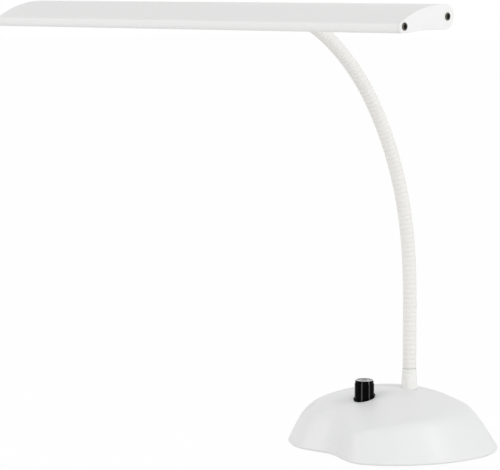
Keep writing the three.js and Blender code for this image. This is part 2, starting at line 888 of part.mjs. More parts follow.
function makePotentiometer() {
  const canTop = wellFloor - coverWall - seatGap;
  const canLow = canTop - potHeight;
  const shaftEnd = wellFloor - shaftTail - seatGap;
  const profile = [
    [0, canLow],
    [potRadius, canLow],
    [potRadius, canTop],
    [bushRadius, canTop],
    [bushRadius, bushTop],
    [shaftRadius + seatGap, bushTop],
    [shaftRadius + seatGap, shaftEnd],
    [0, shaftEnd],
  ];
  const tag = block(
    vector(0, -potTagWidth / 2, canLow),
    vector(potRadius + potTagLength, potTagWidth / 2, canLow + potTagThickness),
  );
  return join(solid(turned(profile)), tag);
}

// The sleeve stands upright in the well, while its flange and its top edge follow the slope of the dome
function makeBezel() {
  const slopeStep = bezelThickness;
  const slopeX = domeHeight(knobX + slopeStep, knobY) - domeHeight(knobX - slopeStep, knobY);
  const slopeY = domeHeight(knobX, knobY + slopeStep) - domeHeight(knobX, knobY - slopeStep);
  const normal = vector(-slopeX, -slopeY, 2 * slopeStep).normalize();
  const flangeLow = normal.clone().multiplyScalar(seatGap);
  const sleeveLow = vector(0, 0, wellFloor + seatGap);
  const top = normal.clone().multiplyScalar(bezelStand);
  const sleeve = rod(bezelSleeveRadius, bezelRadius, sleeveLow, zAxis, roundSides);
  const flange = rod(bezelRadius, bezelThickness, flangeLow, normal, roundSides);
  const innerRadius = bezelSleeveRadius - bezelSleeveWall;
  const bore = rod(innerRadius, 4 * bezelRadius, vector(0, 0, -2 * bezelRadius), zAxis, roundSides);
  return cut(join(sleeve, flange), bore, rod(2 * bezelRadius, 2 * bezelRadius, top, normal));
}

function makeShaft() {
  const low = wellFloor - shaftTail;
  const whole = rod(shaftRadius, shaftTopHeight - low, vector(0, 0, low), zAxis);
  const flat = block(
    vector(-shaftRadius, shaftRadius - shaftFlat, bushTop + seatGap),
    vector(shaftRadius, shaftRadius + cutOverrun, shaftTopHeight + cutOverrun),
  );
  return cut(whole, flat);
}

function knobRing(radius, height, fluted) {
  const sides = knobFlutes * knobSidesPerFlute;
  const ring = [];
  for (let side = 0; side < sides; side++) {
    const turn = (side / sides) * 2 * Math.PI;
    const dip = fluted ? knobFluteDepth * Math.abs(Math.sin((turn * knobFlutes) / 2)) : 0;
    ring.push(vector((radius - dip) * Math.cos(turn), (radius - dip) * Math.sin(turn), height));
  }
  return ring;
}

const knobLow = wellFloor + knobEdge;

function makeKnob() {
  const shoulder = knobTopHeight - knobShoulderDrop;
  const top = knobTopHeight - knobCapThickness - seatGap;
  const body = solid(
    loft([
      knobRing(knobFootRadius - knobEdge, knobLow, true),
      knobRing(knobFootRadius, knobLow + knobEdge, true),
      knobRing(knobShoulderRadius, shoulder, true),
      knobRing(knobTopRadius, shoulder + knobEdge, false),
      knobRing(knobTopRadius, top - knobEdge / 2, false),
      knobRing(knobTopRadius - knobEdge / 2, top, false),
    ]),
  );
  const recessLow = vector(0, 0, knobLow - cutOverrun);
  const recess = rod(knobRecessRadius, knobRecessHeight + cutOverrun, recessLow, zAxis);
  const flatFace = shaftRadius - shaftFlat + seatGap;
  const key = block(
    vector(-2 * shaftRadius, flatFace, wellFloor),
    vector(2 * shaftRadius, 2 * shaftRadius, knobTopHeight),
  );
  const boreLength = shaftTopHeight + seatGap - wellFloor;
  const bore = cut(rod(shaftRadius + seatGap, boreLength, vector(0, 0, wellFloor), zAxis), key);
  const pegHole = rod(knobCapPegRadius + seatGap, knobTopHeight, vector(0, 0, top - knobCapPegLength), zAxis);
  return cut(body, recess, bore, pegHole);
}

// The disc on the knob, with a peg under it that stands in the knob's top
function makeKnobDisc() {
  const low = knobTopHeight - knobCapThickness;
  const pegLow = vector(0, 0, low - knobCapPegLength);
  const peg = rod(knobCapPegRadius, knobCapPegLength + knobCapThickness / 2, pegLow, zAxis);
  return join(rod(knobCapRadius, knobCapThickness, vector(0, 0, low), zAxis, fineSides), peg);
}

addPiece(dimmer, 'dimmer_body', makePotentiometer(), steel);
const potWasherPlace = vector(0, 0, wellFloor + seatGap);
addPiece(
  dimmer,
  'dimmer_washer',
  ringPiece(potWasherRadius, bushRadius + seatGap, potWasherThickness, potWasherPlace, zAxis),
  steel,
);
const potNutPlace = vector(0, 0, potWasherPlace.z + potWasherThickness + seatGap);
addPiece(
  dimmer,
  'dimmer_nut',
  ringPiece(potNutRadius, bushRadius + seatGap / 2, potNutThickness, potNutPlace, zAxis, nutSides),
  steel,
);
addPiece(dimmer, 'dimmer_bezel', makeBezel(), blackGloss);
addPiece(knob, 'dimmer_shaft', makeShaft(), steel);
addPiece(knob, 'knob_body', makeKnob(), blackGloss);
addPiece(knob, 'knob_disc', makeKnobDisc(), silverDisc);

// Leads inside the base: the inlet's and the dimmer's run to the board, and the bar's goes up the neck's pipe

const onBoard = boardLow() + boardThickness + seatGap + leadRadius;
const boardLeft = boardX - boardLength / 2;
const inletEnd = pocketFace + seatGap + inletFlangeThickness / 2 - inletBarrelLength - seatGap;
const overBallast = ballastHigh + leadRise / 2;
const inletLead = lead([
  vector(inletX, inletEnd, inletHeight),
  vector(inletX, inletEnd - leadRise / 3, inletHeight),
  vector(inletX, inletEnd - leadRise, (inletHeight + ballastHigh) / 2),
  vector(inletX, inletEnd - 1.4 * leadRise, overBallast),
  vector(inletX / 2, (boardY + boardWidth / 2) / 2, onBoard + leadRadius),
  vector(boardLeft, boardY + boardWidth / 3, onBoard + leadRadius),
  vector(boardLeft + leadRise, boardY, onBoard),
]);
const tagEnd = potRadius + potTagLength + seatGap;
const tagHeight = wellFloor - coverWall - seatGap - potHeight + potTagThickness / 2;
const dimmerLead = lead([
  atKnob(tagHeight).setX(knobX + tagEnd),
  atKnob(tagHeight).setX(knobX + tagEnd + leadRise / 3),
  vector(boardLeft, knobY, (knobFoot.z + tagHeight + onBoard) / 2 + leadRadius),
  vector(boardLeft + leadRise, knobY + leadRise, onBoard),
]);
const neckLead = lead([
  vector(boardLeft + 1.6 * leadRise, boardY + boardWidth / 4, onBoard),
  vector(boardLeft + leadRise, boardY + boardWidth / 3, onBoard),
  vector(boardLeft / 2, -leadRise, onBoard + 2 * leadRadius),
  vector(0, -leadRise / 3, pipeLow - leadRise / 1.5),
  vector(0, 0, pipeLow - leadRise / 3),
  vector(0, 0, pipeLow + leadRise),
  vector(0, 0, pipeTop),
]);
addPiece(base, 'inlet_lead', inletLead, leadSheath);
addPiece(base, 'dimmer_lead', dimmerLead, leadSheath);
addPiece(base, 'neck_lead', neckLead, leadSheath);

// Light bar, in a frame whose Y runs from the nose to the back and whose Z starts at the lowest edge

const rearRadius = (barHeight - soleRise) / 2;
const rearCentre = barDepth - rearRadius;
const crownSetback = barDepth - crownRearRun;
const axisHeight = barHeight - rearRadius;
const saddleBack = barDepth + saddleStand;
const ferruleRim = saddleBack + seatGap + ferruleLength;
const neckEnd = neckAt(neckRibs * ribPitch).place;

const bar = new THREE.Group();
bar.position.set(0, neckEnd.y - seatGap - ferruleRim, neckEnd.z - axisHeight);
lamp.add(bar);

// The section's outline, drawn in by a wall thickness
function barSection(drawnIn) {
  const nose = vector(noseUpperRadius, noseUpperCentre, 0);
  const run = crownSetback - nose.x;
  const rise = barHeight - nose.y;
  const crownRadius = (run ** 2 + rise ** 2 - noseUpperRadius ** 2) / (2 * (rise - noseUpperRadius));
  const crownCentre = barHeight - crownRadius;
  const noseTurn = Math.atan2(nose.y - crownCentre, nose.x - crownSetback);
  const rampTurn = Math.atan2(soleRise, rampLength);
  const shape = new THREE.Shape();
  shape.moveTo(noseLowerRadius + rampLength, soleRise + drawnIn);
  shape.lineTo(rearCentre, soleRise + drawnIn);
  shape.absarc(rearCentre, axisHeight, rearRadius - drawnIn, -Math.PI / 2, Math.PI / 2, false);
  shape.absarc(crownSetback, crownCentre, crownRadius - drawnIn, Math.PI / 2, noseTurn, false);
  shape.absarc(nose.x, nose.y, noseUpperRadius - drawnIn, noseTurn, Math.PI, false);
  shape.absarc(
    noseLowerRadius,
    noseLowerRadius,
    noseLowerRadius - drawnIn,
    Math.PI,
    1.5 * Math.PI + rampTurn,
    false,
  );
  shape.closePath();
  return shape;
}

const housingEnd = barLength / 2 - endCapThickness - seatGap;
const innerFloor = soleRise + barWall;
const windowBack = rearCentre - windowRearBand;
const windowMiddle = (windowFront + windowBack) / 2;

function makeHousing() {
  const outer = solid(drawnAlongX(barSection(0), -housingEnd, housingEnd));
  const reach = housingEnd + cutOverrun;
  const hollow = cut(
    solid(drawnAlongX(barSection(barWall), -reach, reach)),
    block(vector(-reach, 0, webHeight), vector(reach, barDepth, webHeight + webThickness)),
    rod(bossRadius, 2 * reach, vector(-reach, rearCentre, axisHeight), xAxis),
    rod(bossRadius, 2 * reach, vector(-reach, noseScrewSetback, noseScrewHeight), xAxis),
  );
  const halfPocket = mountPocketWidth / 2;
  const pocketFront = rearCentre + rearRadius - barWall - mountPocketDepth;
  const inner = solid(drawnAlongX(barSection(barWall), -halfPocket, halfPocket));
  const pocket = inner.intersect(
    block(vector(-halfPocket, pocketFront, innerFloor), vector(halfPocket, barDepth, barHeight)),
  );
  const window = block(
    vector(-reach, windowFront, -cutOverrun),
    vector(reach, windowBack, innerFloor + cutOverrun),
  );
  const screwHoleRadius = capScrewShankRadius + seatGap;
  const tailHole = rod(ferruleTailRadius + seatGap, barDepth, vector(0, rearCentre, axisHeight), yAxis);
  return cut(
    outer,
    hollow,
    pocket,
    window,
    tailHole,
    rod(screwHoleRadius, 2 * reach, vector(-reach, rearCentre, axisHeight), xAxis),
    rod(screwHoleRadius, 2 * reach, vector(-reach, noseScrewSetback, noseScrewHeight), xAxis),
  );
}

addPiece(bar, 'light_bar_housing', makeHousing(), whitePaint);

const diffuserLow = innerFloor + seatGap;
const diffuserFront = windowFront - diffuserLap;
const diffuserHigh = diffuserLow + diffuserThickness;
const diffuserSlab = block(
  vector(-housingEnd, diffuserFront, diffuserLow),
  vector(housingEnd, windowBack + diffuserLap, diffuserHigh),
);
const diffuserFace = block(
  vector(-housingEnd, windowFront + seatGap, soleRise + seatGap),
  vector(housingEnd, windowBack - seatGap, diffuserHigh),
);
addPiece(bar, 'diffuser', join(diffuserSlab, diffuserFace), opal);

function makeLedBoard() {
  const boardEnd = housingEnd - ledBoardEndSpace;
  const high = webHeight - seatGap;
  const low = high - ledBoardThickness;
  const boardFront = windowMiddle - ledBoardWidth / 2;
  const strip = block(vector(-boardEnd, boardFront, low), vector(boardEnd, boardFront + ledBoardWidth, high));
  const pitch = (2 * boardEnd) / ledCount;
  const diodes = [];
  for (let i = 0; i < ledCount; i++) {
    const x = -boardEnd + pitch * (i + 0.5);
    diodes.push(
      block(
        vector(x - ledLength / 2, windowMiddle - ledWidth / 2, low - ledThickness),
        vector(x + ledLength / 2, windowMiddle + ledWidth / 2, low + ledBoardThickness / 2),
      ),
    );
  }
  return join(strip, ...diodes);
}

addPiece(bar, 'led_board', makeLedBoard(), circuitWhite);

// End caps and their screws
const capScrewPlaces = [
  ['rear', rearCentre, axisHeight],
  ['front', noseScrewSetback, noseScrewHeight],
];
for (const [name, side] of [['left', -1], ['right', 1]]) {
  const inside = barLength / 2 - endCapThickness;
  const ends = side > 0 ? [inside, barLength / 2] : [-barLength / 2, -inside];
  const holes = capScrewPlaces.map(([, y, z]) =>
    rod(capScrewShankRadius + seatGap, 2 * barLength, vector(-barLength, y, z), xAxis),
  );
  const plate = solid(drawnAlongX(barSection(0), ...ends, endCapEdge));
  addPiece(bar, `end_cap_${name}`, cut(plate, ...holes), whitePaint);
  const sizes = {
    headRadius: capScrewHeadRadius,
    headHeight: capScrewHeadHeight,
    shankRadius: capScrewShankRadius,
    length: capScrewLength,
  };
  for (const [place, y, z] of capScrewPlaces) {
    const bearing = vector(side * (barLength / 2 + seatGap), y, z);
    addPiece(bar, `end_cap_screw_${name}_${place}`, screw(bearing, vector(-side, 0, 0), sizes), blackSteel);
  }
}

// Saddle behind the bar, and the ferrule whose threaded tail draws it and the inner saddle to the wall

function barCylinder(radius) {
  return rod(radius, 2 * saddleWidth, vector(-saddleWidth, rearCentre, axisHeight), xAxis, fineSides);
}

function makeSaddle() {
  const front = barDepth - saddleWrap;
  const plate = solid(plateAcrossBar(saddleWidth, saddleHeight, saddleCorner, front, saddleBack));
  const hole = rod(ferruleTailRadius + seatGap, barDepth, vector(0, rearCentre, axisHeight), yAxis);
  return cut(plate, barCylinder(rearRadius + seatGap), hole);
}

const innerSaddleBack = barDepth - barWall - seatGap;
const innerSaddleFront = innerSaddleBack - innerSaddleThickness;

function makeInnerSaddle() {
  const plate = solid(
    plateAcrossBar(innerSaddleWidth, innerSaddleHeight, innerSaddleCorner, innerSaddleFront, barDepth),
  );
  const holeStart = vector(0, rearCentre - barDepth / 2, axisHeight);
  const hole = rod(ferruleTailRadius + seatGap, barDepth, holeStart, yAxis);
  return cut(plate.intersect(barCylinder(rearRadius - barWall - seatGap)), hole);
}

// A plate with rounded corners that stands across the bar's axis, between two places along Y
function plateAcrossBar(width, height, corner, from, to) {
  const [halfWidth, halfHeight] = [width / 2 - corner, height / 2 - corner];
  const shape = new THREE.Shape();
  shape.absarc(halfWidth, -halfHeight, corner, -Math.PI / 2, 0, false);
  shape.absarc(halfWidth, halfHeight, corner, 0, Math.PI / 2, false);
  shape.absarc(-halfWidth, halfHeight, corner, Math.PI / 2, Math.PI, false);
  shape.absarc(-halfWidth, -halfHeight, corner, Math.PI, 1.5 * Math.PI, false);
  shape.closePath();
  const settings = { depth: to - from, curveSegments: cornerSteps, bevelEnabled: false };
  const geometry = new THREE.ExtrudeGeometry(shape, settings);
  return geometry.rotateX(Math.PI / 2).translate(0, to, axisHeight);
}

function makeFerrule() {
  const root = saddleBack + seatGap;
  const tailLow = root - ferruleTailLength;
  const cup = spigotRadius + seatGap;
  const cupFloor = ferruleRim - spigotLength - seatGap;
  const profile = [
    [ferruleTailBore, tailLow],
    [ferruleTailRadius, tailLow],
    [ferruleTailRadius, root],
    [ferruleRootRadius, root],
    [ferruleRimRadius, ferruleRim - ferruleLip],
    [ferruleRimRadius - ferruleLip, ferruleRim],
    [cup, ferruleRim],
    [cup, cupFloor],
    [ferruleTailBore, cupFloor],
    [ferruleTailBore, tailLow],
  ];
  const geometry = turned(profile, roundSides);
  return solid(geometry.rotateX(-Math.PI / 2).translate(0, 0, axisHeight));
}

addPiece(bar, 'bar_saddle', makeSaddle(), whitePaint);
addPiece(bar, 'inner_saddle', makeInnerSaddle(), steel);
addPiece(bar, 'neck_ferrule', makeFerrule(), whitePaint);
const ferruleNutPlace = vector(0, innerSaddleFront - seatGap, axisHeight);
const ferruleNutBore = ferruleTailRadius + seatGap / 2;
addPiece(
  bar,
  'ferrule_nut',
  ringPiece(ferruleNutRadius, ferruleNutBore, ferruleNutThickness, ferruleNutPlace, forward, nutSides),
  steel,
);

// Lead from the ferrule's tail to the light board

const tailLow = saddleBack + seatGap - ferruleTailLength;
const underBoard = webHeight - seatGap - ledBoardThickness - seatGap - leadRadius;
const ledBoardBack = windowMiddle + ledBoardWidth / 2;
const barLead = lead([
  vector(0, tailLow + leadRise, axisHeight),
  vector(0, tailLow, axisHeight),
  vector(0, (tailLow + ledBoardBack) / 2, (axisHeight + underBoard) / 2),
  vector(0, ledBoardBack + leadRadius, underBoard),
  vector(0, ledBoardBack - leadRise / 2, underBoard),
]);
addPiece(bar, 'bar_lead', barLead, leadSheath);

export default lamp;
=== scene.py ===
import math

import bmesh
import bpy
from mathutils import Matrix, Vector
from mathutils.kdtree import KDTree


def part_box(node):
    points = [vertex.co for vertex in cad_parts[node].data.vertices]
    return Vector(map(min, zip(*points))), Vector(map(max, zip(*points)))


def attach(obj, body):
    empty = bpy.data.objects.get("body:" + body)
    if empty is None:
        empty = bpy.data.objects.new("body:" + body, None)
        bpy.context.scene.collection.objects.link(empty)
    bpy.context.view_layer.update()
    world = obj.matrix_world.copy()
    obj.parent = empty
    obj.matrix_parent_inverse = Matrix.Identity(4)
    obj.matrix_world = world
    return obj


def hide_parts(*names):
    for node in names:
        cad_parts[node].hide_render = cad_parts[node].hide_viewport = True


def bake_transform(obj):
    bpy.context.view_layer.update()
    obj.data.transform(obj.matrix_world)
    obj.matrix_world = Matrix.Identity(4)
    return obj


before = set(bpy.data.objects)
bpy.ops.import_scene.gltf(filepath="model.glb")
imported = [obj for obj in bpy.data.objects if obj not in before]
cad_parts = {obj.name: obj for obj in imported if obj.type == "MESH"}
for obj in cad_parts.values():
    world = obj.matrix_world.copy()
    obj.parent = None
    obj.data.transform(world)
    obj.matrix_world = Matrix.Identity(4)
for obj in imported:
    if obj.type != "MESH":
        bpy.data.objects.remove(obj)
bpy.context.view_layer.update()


# The photograph's view: a long lens from the front right, a little above the height of the light bar.
# Places are in metres, and the lamp's sizes are given in millimetres times mm.
mm = 0.001
camera_data = bpy.data.cameras.new("camera")
camera_data.lens = 179.06
camera_data.sensor_width = 36
camera_data.clip_end = 30
camera = bpy.data.objects.new("camera", camera_data)
camera.location = (1.40587, -1.68782, 0.412)
camera.rotation_euler = (math.radians(90 - 5.854), 0, math.radians(43.5))
bpy.context.collection.objects.link(camera)
bpy.context.scene.camera = camera


# Studio: a pale table top and an evenly lit white room, with three broad soft lamps set low: one beside the
# camera, one at the left and one at the right, so that upright faces are a little brighter than level ones.
# A fourth and smaller one at the upper right gives the base its highlight.
# The white behind the lamp is only what the camera, gloss and glass see of the room.
class Level:
    """A number that varies over a surface. Sums with it add Math nodes to its finish."""

    def __init__(self, tree, socket):
        self.tree, self.socket = tree, socket

    def worked(self, operation, first, second):
        node = self.tree.nodes.new("ShaderNodeMath")
        node.operation = operation
        for place, value in zip(node.inputs, (first, second)):
            if isinstance(value, Level):
                self.tree.links.new(value.socket, place)
            else:
                place.default_value = value
        return Level(self.tree, node.outputs[0])

    def __add__(self, other):
        return self.worked("ADD", self, other)

    def __sub__(self, other):
        return self.worked("SUBTRACT", self, other)

    def __rsub__(self, other):
        return self.worked("SUBTRACT", other, self)

    def __mul__(self, other):
        return self.worked("MULTIPLY", self, other)

    def __truediv__(self, other):
        return self.worked("DIVIDE", self, other)

    def __pow__(self, other):
        return self.worked("POWER", self, other)

    def over(self, limit):
        return self.worked("GREATER_THAN", self, limit)

    def held(self):
        """The level kept between 0 and 1."""
        return self.worked("MINIMUM", self.worked("MAXIMUM", self, 0), 1)

    __radd__ = __add__
    __rmul__ = __mul__


class NodeTree:
    """Adds nodes to a material's or a world's tree."""

    def __init__(self, tree):
        self.tree = tree

    def node(self, kind, settings=None, stops=None, out=0, **sockets):
        made = self.tree.nodes.new("ShaderNode" + kind)
        for name, value in (settings or {}).items():
            setattr(made, name, value)
        if stops:
            ramp = made.color_ramp
            while len(ramp.elements) < len(stops):
                ramp.elements.new(0.5)
            for element, (place, color) in zip(ramp.elements, stops):
                element.position, element.color = place, (*color, 1)
        for name, value in sockets.items():
            self.join(value, made.inputs[int(name[1:]) if name[1:].isdigit() else name.replace("_", " ")])
        return Level(self.tree, made.outputs[out])

    def join(self, value, socket):
        if isinstance(value, Level):
            self.tree.links.new(value.socket, socket)
        elif hasattr(value, "__len__") and len(value) == 3 and socket.type == "RGBA":
            socket.default_value = (*value, 1)
        else:
            socket.default_value = value

    def see_room(self, shader_seen, shader_lit):
        """Shows one shader to the camera, gloss and glass, and leaves the other to light the room."""
        rays = self.node("LightPath", out="Is Camera Ray")
        for seen in ("Is Glossy Ray", "Is Transmission Ray"):
            rays = rays.worked("MAXIMUM", rays, self.node("LightPath", out=seen))
        return self.node("MixShader", i0=rays, i1=shader_lit, i2=shader_seen)


class Finish(NodeTree):
    """A surface finish. Constants go straight on the shader, and wear() joins what varies to it."""

    def __init__(self, name, color=(1, 1, 1), **constants):
        self.material = bpy.data.materials.new(name)
        self.material.use_nodes = True
        super().__init__(self.material.node_tree)
        self.shader = self.tree.nodes["Principled BSDF"]
        self.shader.inputs["Base Color"].default_value = (*color, 1)
        for socket, value in constants.items():
            self.shader.inputs[socket.replace("_", " ")].default_value = value

    def wear(self, **sockets):
        """Joins levels or colours to the shader's own sockets."""
        for name, value in sockets.items():
            self.join(value, self.shader.inputs[name.replace("_", " ")])

    def place(self, **mapping):
        """The object's own coordinates, stretched where a pattern runs one way."""
        spot = self.node("TexCoord", out="Object")
        return self.node("Mapping", Vector=spot, **mapping) if mapping else spot

    def noise(self, scale, detail=2.0, **mapping):
        return self.node("TexNoise", Vector=self.place(**mapping), Scale=scale, Detail=detail, Roughness=0.55)

    def tint(self, share, first, second):
        """One colour turning into another by a level."""
        return self.node("Mix", {"data_type": "RGBA"}, out=2, i0=share, i6=first, i7=second)

    def grain(self, height, depth, strength):
        """A bump of a real depth in millimetres."""
        return self.node("Bump", Height=height, Distance=depth * mm, Strength=strength)


room = bpy.context.scene.world or bpy.data.worlds.new("room")
bpy.context.scene.world = room
room.use_nodes = True
room.node_tree.nodes.clear()
room_finish = NodeTree(room.node_tree)
room_light = room_finish.node("Background", Color=(0.995, 0.998, 1.0), Strength=0.659)
room_seen = room_finish.node("Background", Color=(1.0, 1.0, 1.0), Strength=1.0)
room_out = room.node_tree.nodes.new("ShaderNodeOutputWorld")
room_finish.join(room_finish.see_room(room_seen, room_light), room_out.inputs["Surface"])


def studio_lamp(name, place, aim, width, power, color):
    lamp_data = bpy.data.lights.new(name, "AREA")
    lamp_data.shape = "DISK"
    lamp_data.size = width
    lamp_data.energy = power
    lamp_data.color = color
    lamp = bpy.data.objects.new(name, lamp_data)
    lamp.location = place
    lamp.rotation_euler = (Vector(aim) - Vector(place)).to_track_quat("-Z", "Y").to_euler()
    bpy.context.collection.objects.link(lamp)


studio_lamp("front_lamp", (1.7, -1.6, 0.45), (0, -0.08, 0.1), 1.1, 5.8, (0.99, 1, 0.998))
studio_lamp("left_lamp", (-1.2, -1.9, 0.9), (0, -0.1, 0.2), 1.2, 9.6, (1, 1, 0.99))
studio_lamp("right_lamp", (2.2, 0.2, 0.5), (0, -0.1, 0.2), 1.0, 6.6, (0.985, 1, 1))
studio_lamp("top_lamp", (1.3, 0.4, 1.5), (0.08, -0.06, 0.02), 0.3, 4.9, (1, 1, 1))

table_finish = Finish("table_top", (0.86, 0.86, 0.86), Roughness=0.55)
table_white = table_finish.node("Emission", Color=(1.0, 1.0, 1.0), Strength=1.0)
table_lit = Level(table_finish.tree, table_finish.shader.outputs[0])
table_seen = table_finish.node("MixShader", i0=0.97, i1=table_lit, i2=table_white)
table_out = table_finish.tree.nodes["Material Output"].inputs["Surface"]
table_finish.join(table_finish.see_room(table_seen, table_lit), table_out)
bpy.ops.object.select_all(action="DESELECT")
bpy.ops.mesh.primitive_plane_add(size=24, location=(0, 0, -0.02 * mm))
table_top = bpy.context.object
table_top.name = "table_top"
table_top.data.materials.append(table_finish.material)


# Base cover: an injection moulded shell of white ABS with a fine satin grain. Its plan is like a grand
# piano's, its wall leans inwards all round, and a soft crease parts the wall from the shallow dome.
# It has a well for the dimmer, a seat for the neck's collar, a pocket for the power inlet, and screw bosses.
def leave_edit():
    if bpy.context.object and bpy.context.object.mode == "EDIT":
        bpy.ops.object.mode_set(mode="OBJECT")
    bpy.ops.object.select_all(action="DESELECT")


def drawn_up(name, rings, pointed=False):
    """A disc laid on a first ring of points and extruded ring by ring, ending in a flat or a point."""
    leave_edit()
    bpy.ops.mesh.primitive_circle_add(vertices=len(rings[0]), radius=10 * mm, fill_type="NGON")
    piece = bpy.context.object
    piece.name = name
    for vertex, point in zip(piece.data.vertices, rings[0]):
        vertex.co = point
    bpy.ops.object.mode_set(mode="EDIT")
    bpy.ops.mesh.select_all(action="SELECT")
    for before, after in zip(rings, rings[1:]):
        bpy.ops.mesh.extrude_region_move()
        finder = KDTree(len(before))
        for i, point in enumerate(before):
            finder.insert(point, i)
        finder.balance()
        mesh = bmesh.from_edit_mesh(piece.data)
        for vertex in [v for v in mesh.verts if v.select]:
            vertex.co = after[finder.find(vertex.co)[1]]
        bmesh.update_edit_mesh(piece.data)
    if pointed:
        bpy.ops.mesh.merge(type="CENTER")
    bpy.ops.mesh.select_all(action="SELECT")
    bpy.ops.mesh.normals_make_consistent(inside=False)
    leave_edit()
    return piece


def applied(piece, kind, **settings):
    """Adds a modifier and applies it at once."""
    leave_edit()
    bpy.context.view_layer.objects.active = piece
    piece.select_set(True)
    modifier = piece.modifiers.new(kind, kind)
    for name, value in settings.items():
        setattr(modifier, name, value)
    bpy.ops.object.modifier_apply(modifier=modifier.name)
    return piece


def cut_by(piece, *tools, keep=False, operation="DIFFERENCE"):
    """Cuts, joins or crosses a piece with tools, which are used up unless they are kept."""
    for tool in tools:
        applied(piece, "BOOLEAN", object=tool, operation=operation, solver="EXACT")
        if not keep:
            bpy.data.objects.remove(tool)
    return piece


def settle(piece):
    """Puts a turned or moved piece's place into its mesh."""
    leave_edit()
    bpy.context.view_layer.objects.active = piece
    piece.select_set(True)
    bpy.ops.object.transform_apply(location=True, rotation=True, scale=True)
    return piece


def rod(radius, length, place, axis=(0, 0, 1), sides=48):
    """A plain round tool that starts at a place, all in millimetres."""
    leave_edit()
    middle = (Vector(place) + Vector(axis) * length / 2) * mm
    bpy.ops.mesh.primitive_cylinder_add(
        vertices=sides, radius=radius * mm, depth=length * mm, location=middle,
    )
    tool = bpy.context.object
    tool.rotation_euler = Vector(axis).to_track_quat("Z", "Y").to_euler()
    return settle(tool)


def brick(low, high):
    """A plain box tool between two corners in millimetres."""
    leave_edit()
    size = Vector(high) - Vector(low)
    bpy.ops.mesh.primitive_cube_add(size=1, location=(Vector(low) + Vector(high)) / 2 * mm, scale=size * mm)
    return settle(bpy.context.object)


def smoothed(piece, angle=35):
    leave_edit()
    bpy.context.view_layer.objects.active = piece
    piece.select_set(True)
    bpy.ops.object.shade_smooth_by_angle(angle=math.radians(angle))
    return piece


def dressed(piece, finish, slot, body, *nodes):
    """Gives a finished piece its material and fixes it in the place of its CAD nodes. The slot is not used.
    """
    piece.data.materials.clear()
    piece.data.materials.append(finish.material)
    if nodes:
        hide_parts(*nodes)
    if body:
        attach(piece, body)
    return piece


base_width, base_depth = 180, 160
wall_lean, lean_swing = 63.0, 7.8
waist_steeper, waist_middle, waist_reach = 9.4, Vector((8, -102)), 21.5
rim_height, rim_round = 0.8, 1.6
dome_top, dome_middle, dome_turn = 51.4, Vector((-18.6, -1.7)), math.radians(-22.5)
dome_long, dome_short, dome_lift, lift_reach = 205, 135.3, 7.4, 100
back_drop, drop_reach, backward = 1.3, 30, Vector((-0.688, 0.725))
crease_front, crease_left, crease_right, rightward = 6.5, 30, 13, Vector((0.725, 0.688))
cover_wall = 2.5
plan_shares = [
    (-0.478, -0.413), (-0.413, -0.482), (-0.355, -0.53), (-0.28, -0.562), (-0.19, -0.564), (-0.091, -0.566),
    (0.041, -0.634), (0.123, -0.674), (0.179, -0.682), (0.222, -0.671), (0.289, -0.629), (0.361, -0.56),
    (0.42, -0.474), (0.47, -0.376), (0.503, -0.252), (0.515, -0.129), (0.512, -0.024), (0.492, 0.06),
    (0.457, 0.14), (0.396, 0.229), (0.3, 0.297), (0.111, 0.313), (-0.111, 0.291), (-0.322, 0.188),
    (-0.444, -0.037), (-0.489, -0.25),
]


def plan_curve(steps):
    """The plan's outline in millimetres: a smooth closed curve through its chosen points, in even steps."""
    knots = [Vector((across * base_width, deep * base_depth)) for across, deep in plan_shares]
    fine = []
    for i in range(len(knots)):
        a, b, c, d = (knots[(i + k) % len(knots)] for k in (-1, 0, 1, 2))
        ab, bc, cd = (math.sqrt((q - p).length) for p, q in ((a, b), (b, c), (c, d)))
        start = ((b - a) / ab - (c - a) / (ab + bc) + (c - b) / bc) * bc
        finish = ((c - b) / bc - (d - b) / (bc + cd) + (d - c) / cd) * bc
        for step in range(40):
            t = step / 40
            bend = b * (2 * t**3 - 3 * t**2 + 1) + start * (t**3 - 2 * t**2 + t)
            fine.append(bend + c * (3 * t**2 - 2 * t**3) + finish * (t**3 - t**2))
    lengths = [0]
    for p, q in zip(fine, fine[1:] + fine[:1]):
        lengths.append(lengths[-1] + (q - p).length)
    points, k = [], 0
    for i in range(steps):
        goal = lengths[-1] * i / steps
        while lengths[k + 1] < goal:
            k += 1
        share = (goal - lengths[k]) / (lengths[k + 1] - lengths[k])
        points.append(fine[k].lerp(fine[(k + 1) % len(fine)], share))
    return points


plan_steps = 220
plan = plan_curve(plan_steps)
plan_middle = sum(plan, Vector((0, 0))) / plan_steps
along_plan = [(plan[(i + 1) % plan_steps] - plan[i - 1]).normalized() for i in range(plan_steps)]


def plan_inside(inset, height):
    """The plan drawn in square to its edge, as a level ring in metres."""
    return [
        Vector((point.x - along.y * inset, point.y + along.x * inset, height)) * mm
        for point, along in zip(plan, along_plan)
    ]


def wall_height(gap, lean, inset):
    """The wall's height at a distance from the plan's edge. The wall starts where the rim's rounding ends."""
    rise = math.tan(math.radians(lean))
    return rim_height + rim_round * (1 + math.hypot(1, rise) - rise) + (gap - inset) * rise


def eased(share):
    share = min(1, max(0, share))
    return share**2 * (3 - 2 * share)


def from_edge(x, y):
    """How far a place lies inside the plan's edge, and the nearest wall's lean and its crease's softness."""
    near = 1e9
    for i in range(plan_steps):
        start, end = plan[i], plan[(i + 1) % plan_steps]
        run = end - start
        share = min(1, max(0, (Vector((x, y)) - start).dot(run) / run.length_squared))
        gap = (start + run * share - Vector((x, y))).length
        if gap < near:
            near, spot, facing = gap, start + run * share, run.normalized().y
    at_waist = math.exp(-((spot - waist_middle).length / waist_reach) ** 2)
    side = spot.dot(rightward)
    softness = crease_front + (crease_left - crease_front) * eased((-88.6 - side) / 20)
    softness += (crease_right - crease_front) * eased((side - 41) / 20)
    return near, wall_lean - lean_swing * facing + waist_steeper * at_waist, softness


